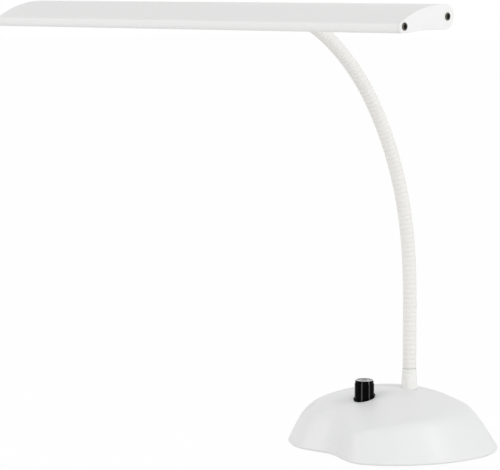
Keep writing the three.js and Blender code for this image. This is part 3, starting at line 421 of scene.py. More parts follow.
def dome(x, y):
    turned = Matrix.Rotation(-dome_turn, 2) @ (Vector((x, y)) - dome_middle)
    drop = turned.x**2 / (2 * dome_long) + turned.y**2 / (2 * dome_short)
    drop += back_drop * (max(0, Vector((x, y)).dot(backward)) / drop_reach) ** 2
    return dome_top - drop + dome_lift * (turned.length / lift_reach) ** 4


def cover_height(x, y, inset=0, lowered=0):
    gap, lean, softness = from_edge(x, y)
    wall = wall_height(gap, lean, inset)
    top = dome(x, y) - lowered
    blend = max(0, 1 - abs(wall - top) / softness)
    return max(rim_height + rim_round, min(wall, top) - blend**2 * softness / 4)


def rim_ring(inset, share):
    """A ring of the rounded rim, from below the edge at share 0 to the foot of the wall at share 1."""
    ring = []
    for point, along in zip(plan, along_plan):
        turn = share * (math.pi - math.radians(from_edge(*point)[1]))
        inward = inset + rim_round * (1 - math.sin(turn))
        height = rim_height + rim_round * (1 - math.cos(turn))
        ring.append(Vector((point.x - along.y * inward, point.y + along.x * inward, height)) * mm)
    return ring


def cover_rings(inset, lowered, steps_up, steps_in):
    """Rings up the wall to the crease, which they follow, and on over the dome to its middle."""
    edge = rim_ring(inset, 1)
    rings = [[] for _ in range(steps_up + steps_in)]
    for point in edge:
        rim = point.to_2d() / mm
        low, high = 0.0, 0.9
        for _ in range(22):
            middle = (low + high) / 2
            spot = rim.lerp(plan_middle, middle)
            gap, lean, _ = from_edge(*spot)
            below = wall_height(gap, lean, inset) < dome(*spot) - lowered
            low, high = (middle, high) if below else (low, middle)
        for step in range(steps_up + steps_in):
            if step < steps_up:
                share = low * (1 - (1 - step / (steps_up - 1)) ** 1.8)
            else:
                share = low + (0.985 - low) * ((step - steps_up + 1) / steps_in) ** 1.6
            spot = rim.lerp(plan_middle, share)
            rings[step].append(Vector((spot.x, spot.y, cover_height(*spot, inset, lowered))) * mm)
    return rings


skin = 0.6
rim_rings = [rim_ring(skin, step / 6) for step in range(6)]
base_cover = drawn_up("base_cover_shell", rim_rings + cover_rings(skin, 0, 12, 16), pointed=True)
wall_across = cover_wall / math.sin(math.radians(wall_lean))
cavity_rings = [plan_inside(wall_across, rim_height - 2)] + cover_rings(wall_across, cover_wall, 6, 8)
cavity = drawn_up("cover_cavity", cavity_rings, pointed=True)

knob_x, knob_y, well_depth, well_radius = -14, -45, 3, 9.5
knob_foot = dome(knob_x, knob_y)
neck_seat = dome(0, 0) - 0.6
boss_radius, screw_pilot = 4, 1.7
collar_seat, pipe_hole, neck_pad = 7.38, 4.4, 19.5
shaft_hole, jack_hole = 3.8, 4.7
inlet_low, inlet_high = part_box("power_inlet")
inlet_x = (inlet_low.x + inlet_high.x) / 2 / mm
inlet_z = (inlet_low.z + inlet_high.z) / 2 / mm
jack_proud, pocket_half_width, pocket_half_height, past_back = 1.5, 8.5, 6.5, 54
pocket_front = inlet_high.y / mm - jack_proud
pocket_low = Vector((inlet_x - pocket_half_width, pocket_front, inlet_z - pocket_half_height))
pocket_high = Vector((inlet_x + pocket_half_width, past_back, inlet_z + pocket_half_height))
thick = Vector((cover_wall,) * 3)
screw_places = []
for i in range(1, 5):
    low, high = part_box(f"base_screw_{i}")
    screw_places.append((low + high) / 2 / mm)
bosses = [rod(boss_radius, 50, (place.x, place.y, 5.1)) for place in screw_places]
cut_by(
    cavity,
    brick(pocket_low - thick, pocket_high + thick),
    rod(neck_pad, 50, (0, 0, neck_seat - 5)),
    rod(well_radius + cover_wall, 50, (knob_x, knob_y, knob_foot - well_depth - cover_wall)),
    *bosses,
)
cut_by(
    base_cover,
    cavity,
    brick(pocket_low, pocket_high),
    rod(collar_seat, 30, (0, 0, neck_seat), sides=64),
    rod(pipe_hole, 80, (0, 0, -5)),
    rod(well_radius, 30, (knob_x, knob_y, knob_foot - well_depth), sides=64),
    rod(shaft_hole, 60, (knob_x, knob_y, 20)),
    rod(jack_hole, 12, (inlet_x, pocket_front + 2, inlet_z), (0, -1, 0)),
    *[rod(screw_pilot, 12, (place.x, place.y, 4.8), sides=24) for place in screw_places],
)
smoothed(base_cover, 40)

satin_white = Finish("satin_white_abs", Roughness=0.36, IOR=1.5)
moulded = satin_white.noise(2300, 3)
flow = satin_white.noise(9, 3)
handled = (satin_white.noise(46, 5) - 0.52) * 4
scuffs = satin_white.noise(900, 2, Scale=(0.05, 1, 1)).over(0.72) * handled.held()
satin_white.wear(
    Base_Color=satin_white.tint((flow - 0.35).held(), (0.835, 0.837, 0.836), (0.812, 0.814, 0.813)),
    Roughness=0.34 + 0.08 * flow + 0.05 * handled.held() + 0.12 * scuffs,
    Normal=satin_white.grain(moulded + 0.4 * satin_white.noise(520, 2), 0.02, 0.35),
)
dressed(base_cover, satin_white, "white_abs", "base", "base_cover")


# Anti-slip pad: a sheet of black foam rubber, stamped to the plan and glued under the steel bottom plate,
# with holes for the four screws that hold the plate.
pad_inset, pad_thick, screw_head_hole = 7.05, 2.5, 3.3
pad_rings = [
    plan_inside(pad_inset + 0.55, 0), plan_inside(pad_inset + 0.1, 0.15), plan_inside(pad_inset, 0.6),
    plan_inside(pad_inset, pad_thick - 0.6), plan_inside(pad_inset + 0.1, pad_thick - 0.15),
    plan_inside(pad_inset + 0.55, pad_thick),
]
base_pad = drawn_up("anti_slip_pad", pad_rings)
cut_by(base_pad, *[rod(screw_head_hole, 8, (place.x, place.y, -2), sides=32) for place in screw_places])
smoothed(base_pad)
foam_rubber = Finish("foam_rubber", Roughness=0.86, IOR=1.45)
cells = foam_rubber.node("TexVoronoi", {"feature": "F1"}, Vector=foam_rubber.place(), Scale=1500)
rubbed = (foam_rubber.noise(38, 4) - 0.5) * 3
foam_rubber.wear(
    Base_Color=foam_rubber.tint(rubbed.held(), (0.022, 0.022, 0.023), (0.055, 0.054, 0.052)),
    Roughness=0.9 - 0.12 * rubbed.held(),
    Normal=foam_rubber.grain(cells + 0.5 * foam_rubber.noise(3000), 0.12, 0.8),
)
dressed(base_pad, foam_rubber, "black_rubber", "base", "base_pad")


# Bottom plate and ballast: a zinc plated steel sheet that closes the base, over a cast iron weight.
plate_low, plate_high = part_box("base_plate")
plate_inset = plate_low.y / mm - min(point.y for point in plan)
plate_foot, plate_top, screw_hole = plate_low.z / mm, plate_high.z / mm, 1.9
plate_rings = [
    plan_inside(plate_inset + 0.5, plate_foot), plan_inside(plate_inset + 0.25, plate_foot + 0.2),
    plan_inside(plate_inset + 0.25, plate_top - 0.2), plan_inside(plate_inset + 0.5, plate_top),
]
base_plate = drawn_up("bottom_plate", plate_rings)
cut_by(base_plate, *[rod(screw_hole, 12, (place.x, place.y, -2), sides=32) for place in screw_places])
smoothed(base_plate)
zinc = Finish("zinc_plate", Metallic=1.0, Roughness=0.36)
spangle = zinc.node("TexVoronoi", {"feature": "F1"}, Vector=zinc.place(), Scale=160, out="Color")
cloud = zinc.noise(60, 4)
zinc.wear(
    Base_Color=zinc.tint(cloud, (0.5, 0.51, 0.52), (0.66, 0.665, 0.67)),
    Roughness=0.28 + 0.16 * cloud + 0.05 * zinc.node("RGBToBW", Color=spangle),
    Normal=zinc.grain(zinc.noise(1500, 3) + 0.4 * cloud, 0.02, 0.5),
)
dressed(base_plate, zinc, "zinc_steel", "base", "base_plate")

raw_iron = Finish("raw_cast_iron", Metallic=0.9, Roughness=0.7)
pits = raw_iron.noise(900, 6)
rust = ((raw_iron.noise(70, 6) - 0.56) * 9).held()
raw_iron.wear(
    Base_Color=raw_iron.tint(rust, (0.105, 0.105, 0.11), (0.16, 0.085, 0.05)),
    Roughness=0.62 + 0.25 * pits,
    Metallic=0.9 - 0.6 * rust,
    Normal=raw_iron.grain(pits + 0.5 * raw_iron.noise(260, 3), 0.25, 0.8),
)


def painted(finish, *names):
    """Gives a finish to CAD nodes that are shown as they are."""
    for name in names:
        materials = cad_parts[name].data.materials
        materials.clear()
        materials.append(finish.material)


painted(raw_iron, "ballast_weight")


# Screws: pan heads with a pressed cross, a rolled rim and a threaded shank. Each size is turned once,
# given its cross with two tapered wedges, and copied. The base's four are plain zinc plated steel.
def turned(name, profile, steps=48):
    """A profile of (radius, height) pairs in millimetres, drawn edge by edge and spun round Z."""
    leave_edit()
    bpy.ops.mesh.primitive_plane_add(size=mm, location=(0, 0, 0))
    piece = bpy.context.object
    piece.name = name
    bpy.ops.object.mode_set(mode="EDIT")
    bpy.ops.mesh.select_mode(type="VERT")
    bpy.ops.mesh.select_all(action="SELECT")
    bpy.ops.mesh.merge(type="CENTER")
    bpy.ops.transform.translate(value=(profile[0][0] * mm, 0, profile[0][1] * mm))
    for (radius, height), (next_radius, next_height) in zip(profile, profile[1:]):
        step = ((next_radius - radius) * mm, 0, (next_height - height) * mm)
        bpy.ops.mesh.extrude_region_move(TRANSFORM_OT_translate={"value": step})
    bpy.ops.mesh.select_all(action="SELECT")
    bpy.ops.mesh.spin(steps=steps, angle=math.tau, center=(0, 0, 0), axis=(0, 0, 1))
    bpy.ops.mesh.select_all(action="SELECT")
    bpy.ops.mesh.remove_doubles(threshold=1e-6)
    bpy.ops.mesh.normals_make_consistent(inside=False)
    leave_edit()
    return piece


def rounded(points, reach, steps=3):
    """A profile with its inner corners rounded off by a reach in millimetres."""
    soft = [points[0]]
    for before, corner, after in zip(points, points[1:], points[2:]):
        a, b, c = Vector(before), Vector(corner), Vector(after)
        cut = min(reach, 0.45 * (a - b).length, 0.45 * (c - b).length)
        start, end = b + (a - b).normalized() * cut, b + (c - b).normalized() * cut
        for i in range(steps + 1):
            t = i / steps
            soft.append(tuple(start * (1 - t) ** 2 + b * 2 * t * (1 - t) + end * t**2))
    return soft + [points[-1]]


def cross_screw(name, head_radius, head_height, shank_radius, length, cross_reach, cross_depth):
    """A screw along Z, with its bearing face at 0 and its head below."""
    profile = []
    for t in (0, 0.3, 0.6, 0.85, 1.1):
        profile.append((head_radius * math.sin(t), -head_height * (0.42 + 0.58 * math.cos(t))))
    profile += [(head_radius, -head_height * 0.5), (head_radius, -0.12), (head_radius - 0.12, 0)]
    profile += [(shank_radius + 0.15, 0), (shank_radius, 0.2)]
    pitch = 0.55
    turns = int((length - 1.6) / pitch)
    for turn in range(turns):
        low = 0.6 + turn * pitch
        profile.append((shank_radius - 0.14, low + 0.1))
        profile += [(shank_radius, low + 0.28), (shank_radius, low + 0.34)]
    profile += [(shank_radius - 0.2, length - 0.8), (0, length)]
    piece = turned(name, profile, 40)
    slot_half, slot_foot = 0.55, cross_depth - head_height
    for quarter in range(2):
        wedge = brick((-cross_reach, -slot_half, -head_height - 1), (cross_reach, slot_half, slot_foot))
        for vertex in wedge.data.vertices:
            if vertex.co.z > (-head_height - 0.5) * mm:
                vertex.co.x *= 0.6
                vertex.co.y *= 0.8
        wedge.rotation_euler = (0, 0, math.radians(45 + 90 * quarter))
        cut_by(piece, settle(wedge))
    # Painted shade and highlight: this attribute is 0 in the cross's recess, which the black screws' finish
    # paints near black. It grows outwards, so that finish paints a brighter ring on the head between the
    # cross and the rim.
    outward = piece.data.attributes.new("outward", "FLOAT", "CORNER")
    for face in piece.data.polygons:
        deep_in = abs(face.normal.z) < 0.4 or face.center.z > (slot_foot - 0.01) * mm
        in_cross = deep_in and face.center.xy.length < 0.85 * head_radius * mm
        for corner in face.loop_indices:
            spot = piece.data.vertices[piece.data.loops[corner].vertex_index].co.xy.length
            outward.data[corner].value = 0 if in_cross else spot / (head_radius * mm)
    return smoothed(piece, 30)


def copy_at(model, name, place, direction, turn=0):
    """A copy of a piece made along Z, turned to a direction and set at a place in metres."""
    copy = model.copy()
    copy.data = model.data.copy()
    copy.name = name
    bpy.context.collection.objects.link(copy)
    aimed = Vector(direction).to_track_quat("Z", "Y").to_matrix().to_4x4()
    copy.matrix_world = Matrix.Translation(place) @ aimed @ Matrix.Rotation(turn, 4, "Z")
    return settle(copy)


base_screw = cross_screw(
    "base_screw_model", head_radius=2.75, head_height=1.75, shank_radius=1.4, length=12, cross_reach=1.5,
    cross_depth=1.0,
)
for i, place in enumerate(screw_places, 1):
    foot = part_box(f"base_screw_{i}")[0].z
    bearing = Vector((place.x * mm, place.y * mm, foot + 1.8 * mm))
    screw = copy_at(base_screw, f"bottom_screw_{i}", bearing, (0, 0, 1), i)
    dressed(screw, zinc, "zinc_steel", "base", f"base_screw_{i}")
bpy.data.objects.remove(base_screw)


# Power inlet: a moulded black barrel jack with a plated pin, in the pocket at the back of the base.
# Its barrel goes through the pocket's wall and a hexagonal nut holds it from inside.
def on_inlet(piece, deeper=0):
    """Turns a piece made along Z to run into the base, and sets it in the power inlet's place."""
    mouth = Vector((inlet_x * mm, inlet_high.y - deeper * mm, inlet_z * mm))
    piece.matrix_world = Matrix.Translation(mouth) @ Matrix.Rotation(math.radians(90), 4, "X")
    return smoothed(settle(piece))


jack_length = (inlet_high.y - inlet_low.y) / mm
jack_flange, jack_barrel, jack_bore, bore_depth = 5.35, 4.35, 3.1, 10.2
jack_profile = rounded([
    (0, bore_depth), (jack_bore, bore_depth), (jack_bore, 0.35), (jack_bore + 0.35, 0), (jack_flange, 0),
    (jack_flange, 1.2), (jack_barrel, 1.2), (jack_barrel, jack_length), (0, jack_length),
], 0.15)
jack = on_inlet(turned("barrel_jack", jack_profile))
jack_black = Finish("jack_black", (0.02, 0.02, 0.021), Roughness=0.45)
jack_black.wear(
    Roughness=0.38 + 0.2 * jack_black.noise(300, 4),
    Normal=jack_black.grain(jack_black.noise(2200, 2), 0.015, 0.5),
)
dressed(jack, jack_black, "black_plastic", "base", "power_inlet")
pin_profile = [(0, 0), (0.55, 0), (0.85, 0.3), (1.0, 0.7), (1.0, 9.0), (0, 9.0)]
dressed(on_inlet(turned("jack_pin", pin_profile, 24), 1.5), zinc, "zinc_steel", "base")


# Collar at the neck's foot: a tapered sleeve of white plastic with a thin lip and two fine rings,
# seated in the cover and drawn down by the threaded pipe inside it.
satin_collar = Finish("satin_white_collar", Roughness=0.26, IOR=1.5)
satin_collar.wear(
    Base_Color=satin_collar.tint(satin_collar.noise(60, 3), (0.885, 0.875, 0.852), (0.86, 0.852, 0.83)),
    Roughness=0.2 + 0.1 * satin_collar.noise(120, 4),
    Normal=satin_collar.grain(satin_collar.noise(2300, 3), 0.015, 0.35),
)
collar_low, collar_high = neck_seat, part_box("neck_collar")[1].z / mm
below_top = [
    (7.0, 11), (6.62, 5.4), (6.47, 5.25), (6.47, 4.95), (6.55, 4.8), (6.52, 3.95), (6.42, 3.8), (6.42, 3.5),
    (6.5, 3.35), (6.44, 0.55), (6.36, 0.15), (6.15, 0), (5.9, 0), (5.75, 0.35), (pipe_hole, 0.35),
]
collar_foot = collar_seat - 0.08
collar_profile = [(pipe_hole, collar_low), (collar_foot - 0.02, collar_low), (collar_foot, collar_low + 0.4)]
collar_profile += [(radius, collar_high - down) for radius, down in below_top] + [(pipe_hole, collar_low)]
collar = smoothed(turned("neck_sleeve_collar", collar_profile, 64), 30)
dressed(collar, satin_collar, "white_collar", "base", "neck_collar")


# Neck: a flexible steel hose with soft ribs, lacquered white. One rib is shaped from a ring, repeated,
# and bent along the neck's line. The neck is ten lengths, each centred on the place where it flexes.
rib_pitch, rib_radius, groove_radius = 4.2, 6.1, 5.88
first_flex, ribs_between, rib_count = 3, 10, 100
tail_radius, tail_length = 4.1, 8
neck_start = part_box("neck_foot")[0].z / mm + 8
straight_run = 54.6
bends = [(500, 5.6), (283.5, 34.9), (217.5, 58), (125, 90)]


def neck_at(distance):
    """A point of the neck's line in metres, at a distance in millimetres from its foot."""
    straight = min(distance, straight_run)
    left = distance - straight
    lean, y, z = 0.0, 0.0, neck_start + straight
    for radius, end in bends:
        turn = min(left / radius, math.radians(end) - lean)
        y -= radius * (math.cos(lean) - math.cos(lean + turn))
        z += radius * (math.sin(lean + turn) - math.sin(lean))
        lean += turn
        left -= turn * radius
    return Vector((0, y - math.sin(lean) * left, z + math.cos(lean) * left)) * mm


leave_edit()
bpy.ops.mesh.primitive_circle_add(vertices=36, radius=groove_radius * mm, location=(0, 0, 0))
rib = bpy.context.object
rib.name = "rib_model"
bpy.ops.object.mode_set(mode="EDIT")
bpy.ops.mesh.select_all(action="SELECT")
rib_side = [(5.89, 0.14), (5.95, 0.34), (6.01, 0.66), (6.07, 1.15), (6.1, 1.75)]
rib_steps = rib_side + [(radius, rib_pitch - height) for radius, height in reversed(rib_side)]
rib_steps.append((groove_radius, rib_pitch))
reached, risen = groove_radius, 0
for radius, height in rib_steps:
    bpy.ops.mesh.extrude_region_move(TRANSFORM_OT_translate={"value": (0, 0, (height - risen) * mm)})
    bpy.ops.transform.resize(value=(radius / reached, radius / reached, 1))
    reached, risen = radius, height
leave_edit()
depth_mark = rib.data.attributes.new("groove", "FLOAT", "POINT")
for vertex, mark in zip(rib.data.vertices, depth_mark.data):
    mark.value = (rib_radius - vertex.co.xy.length / mm) / (rib_radius - groove_radius)

line_data = bpy.data.curves.new("neck_line", "CURVE")
line_data.dimensions = "3D"
line = line_data.splines.new("POLY")
line.points.add(600)
for i, point in enumerate(line.points):
    point.co = (*neck_at(i * rib_count * rib_pitch / 600), 1)
neck_line = bpy.data.objects.new("neck_line", line_data)
bpy.context.collection.objects.link(neck_line)

neck_lacquer = Finish("neck_lacquer", Roughness=0.4, IOR=1.5)
groove = neck_lacquer.node("Attribute", {"attribute_name": "groove"}, out="Fac")
tarnish = neck_lacquer.noise(240, 4)
# Darker deep in the grooves: painted shade together with grime, varied by the tarnish noise.
groove_shade_and_grime = (groove ** 3 * (0.3 + 0.6 * tarnish)).held()
neck_lacquer.wear(
    Base_Color=neck_lacquer.tint(groove_shade_and_grime, (0.86, 0.845, 0.812), (0.75, 0.73, 0.69)),
    Roughness=0.36 + 0.1 * tarnish + 0.15 * groove.held(),
    Normal=neck_lacquer.grain(neck_lacquer.noise(1400, 3), 0.02, 0.4),
)
length_ends = [0] + [first_flex + 5 + ribs_between * k for k in range(9)] + [rib_count]
for k in range(10):
    low_rib, high_rib = length_ends[k], length_ends[k + 1]
    length = rib.copy()
    length.data = rib.data.copy()
    length.name = f"neck_length_{k + 1}"
    bpy.context.collection.objects.link(length)
    applied(length, "ARRAY", count=high_rib - low_rib, use_relative_offset=False, use_constant_offset=True,
            constant_offset_displace=(0, 0, rib_pitch * mm), use_merge_vertices=True, merge_threshold=1e-6)
    length.data.transform(Matrix.Translation((0, 0, low_rib * rib_pitch * mm)))
    bpy.context.view_layer.objects.active = length
    bpy.ops.object.mode_set(mode="EDIT")
    bpy.ops.mesh.select_mode(type="EDGE")
    bpy.ops.mesh.select_all(action="DESELECT")
    bpy.ops.mesh.select_non_manifold()
    bpy.ops.mesh.fill_holes(sides=0)
    for rib_number, rise in ((0, -tail_length), (rib_count, tail_length)):
        if rib_number in (low_rib, high_rib):
            bpy.ops.mesh.select_mode(type="FACE")
            mesh = bmesh.from_edit_mesh(length.data)
            for face in mesh.faces:
                level = face.calc_center_median().z - rib_number * rib_pitch * mm
                face.select_set(len(face.verts) > 4 and abs(level) < 1e-5)
            bmesh.update_edit_mesh(length.data)
            bpy.ops.mesh.extrude_region_move()
            bpy.ops.transform.resize(value=(tail_radius / groove_radius, tail_radius / groove_radius, 1))
            bpy.ops.mesh.extrude_region_move(TRANSFORM_OT_translate={"value": (0, 0, rise * mm)})
    bpy.ops.mesh.select_all(action="SELECT")
    bpy.ops.mesh.normals_make_consistent(inside=False)
    leave_edit()
    applied(length, "CURVE", object=neck_line, deform_axis="POS_Z")
    smoothed(length, 50)
    replaced = [f"neck_link_{k + 1}"] if k < 9 else ["neck_head_end"]
    if k == 0:
        replaced.insert(0, "neck_foot")
    dressed(length, neck_lacquer, "neck_sleeve", None, *replaced)
    flex = first_flex + ribs_between * k
    reach = 3 if k == 0 else 5
    neck_at((flex - reach) * rib_pitch)
    neck_at((flex + reach) * rib_pitch)
    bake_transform(length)
bpy.data.objects.remove(rib)
bpy.data.objects.remove(neck_line)


# Dimmer: a rotary control under the dome. Its black bezel lies on the slope, its sleeve stands upright in
# the well, and the knob is moulded gloss black with eight narrow ridges and a spun aluminium disc on top.
knob_turn = math.radians(26)
gloss_black = Finish("gloss_black_knob", (0.002, 0.002, 0.002), Roughness=0.2, Specular_IOR_Level=0.03,
                     Coat_Roughness=0.12, Coat_IOR=1.75)
swirl = gloss_black.noise(160, 4)
centred = gloss_black.place(Location=(-knob_x * mm, -knob_y * mm, 0))
across, deep = (gloss_black.node("SeparateXYZ", Vector=centred, out=axis) for axis in "XY")
round_knob = deep.worked("ARCTAN2", deep, across)
beat = (round_knob - knob_turn) * 8
ridge = ((beat.worked("COSINE", beat, 0) - 0.8) * 9).held()
# Painted reflection: only the ridges that face the front right get the gloss coat that shows the lamps'
# reflection. The ridges facing left get none, as if they faced a dark room.
lit_side_turn = round_knob + math.radians(30)
lit_side_reflection = ((lit_side_turn.worked("COSINE", lit_side_turn, 0) - 0.28) * 4).held()
gloss_black.wear(
    Base_Color=gloss_black.tint(swirl, (0.0006, 0.0006, 0.0007), (0.0016, 0.0016, 0.0018)),
    Roughness=0.14 + 0.2 * swirl,
    Coat_Weight=(ridge * lit_side_reflection * (0.55 + 0.6 * swirl)).held(),
    Normal=gloss_black.grain(gloss_black.noise(700, 3), 0.012, 0.3),
)


def knob_axis_place(piece, turn=0):
    """Moves a piece made round Z from the dome's height to the dimmer's axis."""
    seat = Matrix.Translation(Vector((knob_x, knob_y, knob_foot)) * mm)
    piece.matrix_world = seat @ Matrix.Rotation(turn, 4, "Z")
    return settle(piece)


slope_x = dome(knob_x + 0.5, knob_y) - dome(knob_x - 0.5, knob_y)
slope_y = dome(knob_x, knob_y + 0.5) - dome(knob_x, knob_y - 0.5)
slope = Vector((-slope_x, -slope_y, 1)).normalized()
bezel_bore, sleeve_radius = 8.95, 9.2
bezel_side = [
    (9.1, 0.3), (9.55, 0.3), (9.68, 0.42), (9.7, 0.7), (9.62, 0.92), (9.4, 1.06), (9.2, 1.18), (9.05, 1.2),
]
bezel_rings = []
for radius, off in bezel_side:
    ring = []
    for i in range(96):
        turn = i / 96 * math.tau
        reach = radius + 0.06 * max(0, math.cos((turn - knob_turn) * 8)) * (off > 0.5)
        x, y = reach * math.cos(turn), reach * math.sin(turn)
        ring.append(Vector((x, y, (off - x * slope.x - y * slope.y) / slope.z)) * mm)
    bezel_rings.append(ring)
bezel = drawn_up("dimmer_bezel_ring", bezel_rings)
sleeve = rod(sleeve_radius, 6, (0, 0, -2.7), sides=96)
above = rod(30, 20, slope * 1.17, slope, sides=24)
cut_by(sleeve, above)
cut_by(bezel, sleeve, operation="UNION")
cut_by(bezel, rod(bezel_bore, 60, (0, 0, -30), sides=96))
smoothed(bezel, 40)
dressed(knob_axis_place(bezel), gloss_black, "gloss_black", "base", "dimmer_bezel")

knob_foot_radius, knob_shoulder_radius, knob_top_radius = 8.7, 8.7, 8.1
knob_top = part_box("knob_disc")[1].z / mm + 0.7 - knob_foot
ridge_height, ridges = 0.22, 8
cap_low = knob_top - 0.8


def knob_ring(radius, height, ridged):
    """A ring round the knob with narrow soft ridges."""
    ring = []
    for i in range(ridges * 20):
        turn = i / (ridges * 20) * math.tau
        off_ridge = math.sin(turn * ridges / 2) * 2 / ridges * radius
        reach = radius + ridged * ridge_height * math.exp(-((off_ridge / 0.62) ** 2)) - 0.08 * ridged
        ring.append(Vector((reach * math.cos(turn), reach * math.sin(turn), height)) * mm)
    return ring


knob_steps = [
    (knob_foot_radius - 0.45, -2.6, 1), (knob_foot_radius - 0.12, -2.5, 1), (knob_foot_radius, -2.15, 1),
    (8.7, 4, 1), (8.7, 9, 1), (knob_shoulder_radius, cap_low - 3.0, 1), (8.66, cap_low - 2.6, 1),
    (8.52, cap_low - 2.4, 0.8), (8.3, cap_low - 2.32, 0.3), (knob_top_radius + 0.05, cap_low - 2.28, 0),
    (knob_top_radius, cap_low - 2.1, 0), (knob_top_radius, cap_low - 1.4, 0),
    (knob_top_radius, cap_low - 0.5, 0), (knob_top_radius - 0.08, cap_low - 0.1, 0),
    (knob_top_radius - 0.3, cap_low + 0.1, 0),
]
knob = drawn_up("ridged_knob", [knob_ring(*step) for step in knob_steps])
shaft_tool = cut_by(rod(3.3, 15, (0, 0, -3)), brick((-6, 1.8, -4), (6, 6, 20)))
settle(shaft_tool).data.transform(Matrix.Rotation(math.radians(21) - knob_turn, 4, "Z"))
nut_room, peg_hole = 6.9, 2.7
cut_by(knob, rod(nut_room, 6, (0, 0, -4.4)), shaft_tool, rod(peg_hole, 5, (0, 0, cap_low - 1.5)))
smoothed(knob, 32)
dressed(knob_axis_place(knob, knob_turn), gloss_black, "gloss_black", "dimmer_knob", "knob_body")

disc_side = [
    (0, 0.66), (4.5, 0.66), (4.7, 0.52), (5.3, 0.52), (5.5, 0.68), (6.6, 0.78), (7.2, 0.8), (7.65, 0.5),
    (7.65, 0), (2.4, 0), (2.4, -1.2), (0, -1.2),
]
disc_profile = [(radius, cap_low + up) for radius, up in disc_side]
disc = smoothed(turned("knob_top_disc", rounded(disc_profile, 0.12, 2), 96), 30)
spun_disc = Finish("spun_disc", Metallic=1.0, Roughness=0.3)
centred = spun_disc.place(Location=(-knob_x * mm, -knob_y * mm, 0))
level = spun_disc.node("VectorMath", {"operation": "MULTIPLY"}, i0=centred, i1=(1, 1, 0))
from_middle = spun_disc.node("VectorMath", {"operation": "LENGTH"}, out="Value", i0=level)
ringed = spun_disc.node("CombineXYZ", X=from_middle)
lathe_marks = spun_disc.node("TexNoise", Vector=ringed, Scale=9000, Detail=3.0)
# Painted light on the disc: a darker band over its ring groove is painted shade. A fan that brightens the
# face towards its left and right edges is a painted highlight. The chamfered rim is painted brighter as a
# highlight.
groove_painted_shade = (1 - ((from_middle - 5.0 * mm) ** 2 * (1 / (0.6 * mm) ** 2))).held()
across, deep = (spun_disc.node("SeparateXYZ", Vector=centred, out=axis) for axis in "XY")
fan_painted_highlight = ((across * 0.725 + deep * 0.688) / (from_middle + 0.5 * mm)) ** 2
rim_painted_highlight = from_middle.over(7.2 * mm)
fan_highlight_grey = spun_disc.tint(fan_painted_highlight.held(), (0.15, 0.152, 0.155), (0.36, 0.365, 0.37))
face_grey = spun_disc.tint(groove_painted_shade, fan_highlight_grey, (0.13, 0.13, 0.135))
spun_disc.wear(
    Base_Color=spun_disc.tint(rim_painted_highlight, face_grey, (0.6, 0.6, 0.6)),
    Roughness=0.3 + 0.2 * lathe_marks,
    Normal=spun_disc.grain(lathe_marks, 0.02, 0.5),
)
dressed(knob_axis_place(disc), spun_disc, "silver_disc", "dimmer_knob", "knob_disc")


# Light bar: an extruded aluminium housing with a rounded nose, a flatly crowned top and a round back, powder
# coated white. Inside it has a web that carries the light board, and two bosses for the end caps' screws.
bar_low, bar_high = (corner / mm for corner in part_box("light_bar_housing"))
bar_depth, bar_height, sole, ramp = 63, 21.3, 2.2, 24
nose_low, nose_up, nose_up_height, crown_back = 3.4, 2.6, 6, 50
back_radius = (bar_height - sole) / 2
back_middle, back_height = bar_depth - back_radius, bar_height - back_radius
bar_wall = 1.3
ferrule_low, ferrule_high = (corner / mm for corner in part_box("neck_ferrule"))
mount_height = (ferrule_low.z + ferrule_high.z) / 2 - bar_low.z


def bar_ring(x, inset=0.0):
    """The bar's section across X, drawn in by a wall, as a ring in metres."""
    rise = bar_height - nose_up_height
    crown = ((crown_back - nose_up) ** 2 + rise**2 - nose_up**2) / (2 * (rise - nose_up))
    crown_height = bar_height - crown
    nose_turn = math.atan2(nose_up_height - crown_height, nose_up - crown_back)
    ramp_turn = math.atan2(sole, ramp)
    arcs = [
        (back_middle, back_height, back_radius, -math.pi / 2, math.pi / 2, 20),
        (crown_back, crown_height, crown, math.pi / 2, nose_turn, 28),
        (nose_up, nose_up_height, nose_up, nose_turn, math.pi, 8),
        (nose_low, nose_low, nose_low, math.pi, 1.5 * math.pi + ramp_turn, 10),
    ]
    points = [(nose_low + ramp, sole + inset)]
    for y, z, radius, start, end, steps in arcs:
        for i in range(steps + 1):
            turn = start + (end - start) * i / steps
            points.append((y + (radius - inset) * math.cos(turn), z + (radius - inset) * math.sin(turn)))
    loop = [points[0]]
    for point in points[1:]:
        if math.dist(point, loop[-1]) > 1e-3:
            loop.append(point)
    return [Vector((x, bar_low.y + y, bar_low.z + z)) * mm for y, z in loop]


def in_bar(x, y, z):
    return Vector((x, bar_low.y + y, bar_low.z + z))


half_housing = bar_high.x + 0.25
housing = drawn_up("light_bar_extrusion", [bar_ring(-half_housing), bar_ring(half_housing)])
hollow = drawn_up("bar_hollow", [bar_ring(-half_housing - 2, bar_wall), bar_ring(half_housing + 2, bar_wall)])
window_front, window_back, web = 10.5, 46.5, 12.2
cap_screws = {"rear": (back_middle + 1.7, back_height + 0.2), "front": (5.1, 5.1)}
screw_boss, screw_bore, mount_hole = 3.4, 1.5, 4.8


def along_bar(radius, place, sides):
    """A rod that runs through the whole bar and out at both ends."""
    return rod(radius, 480, in_bar(-240, *place), (1, 0, 0), sides)


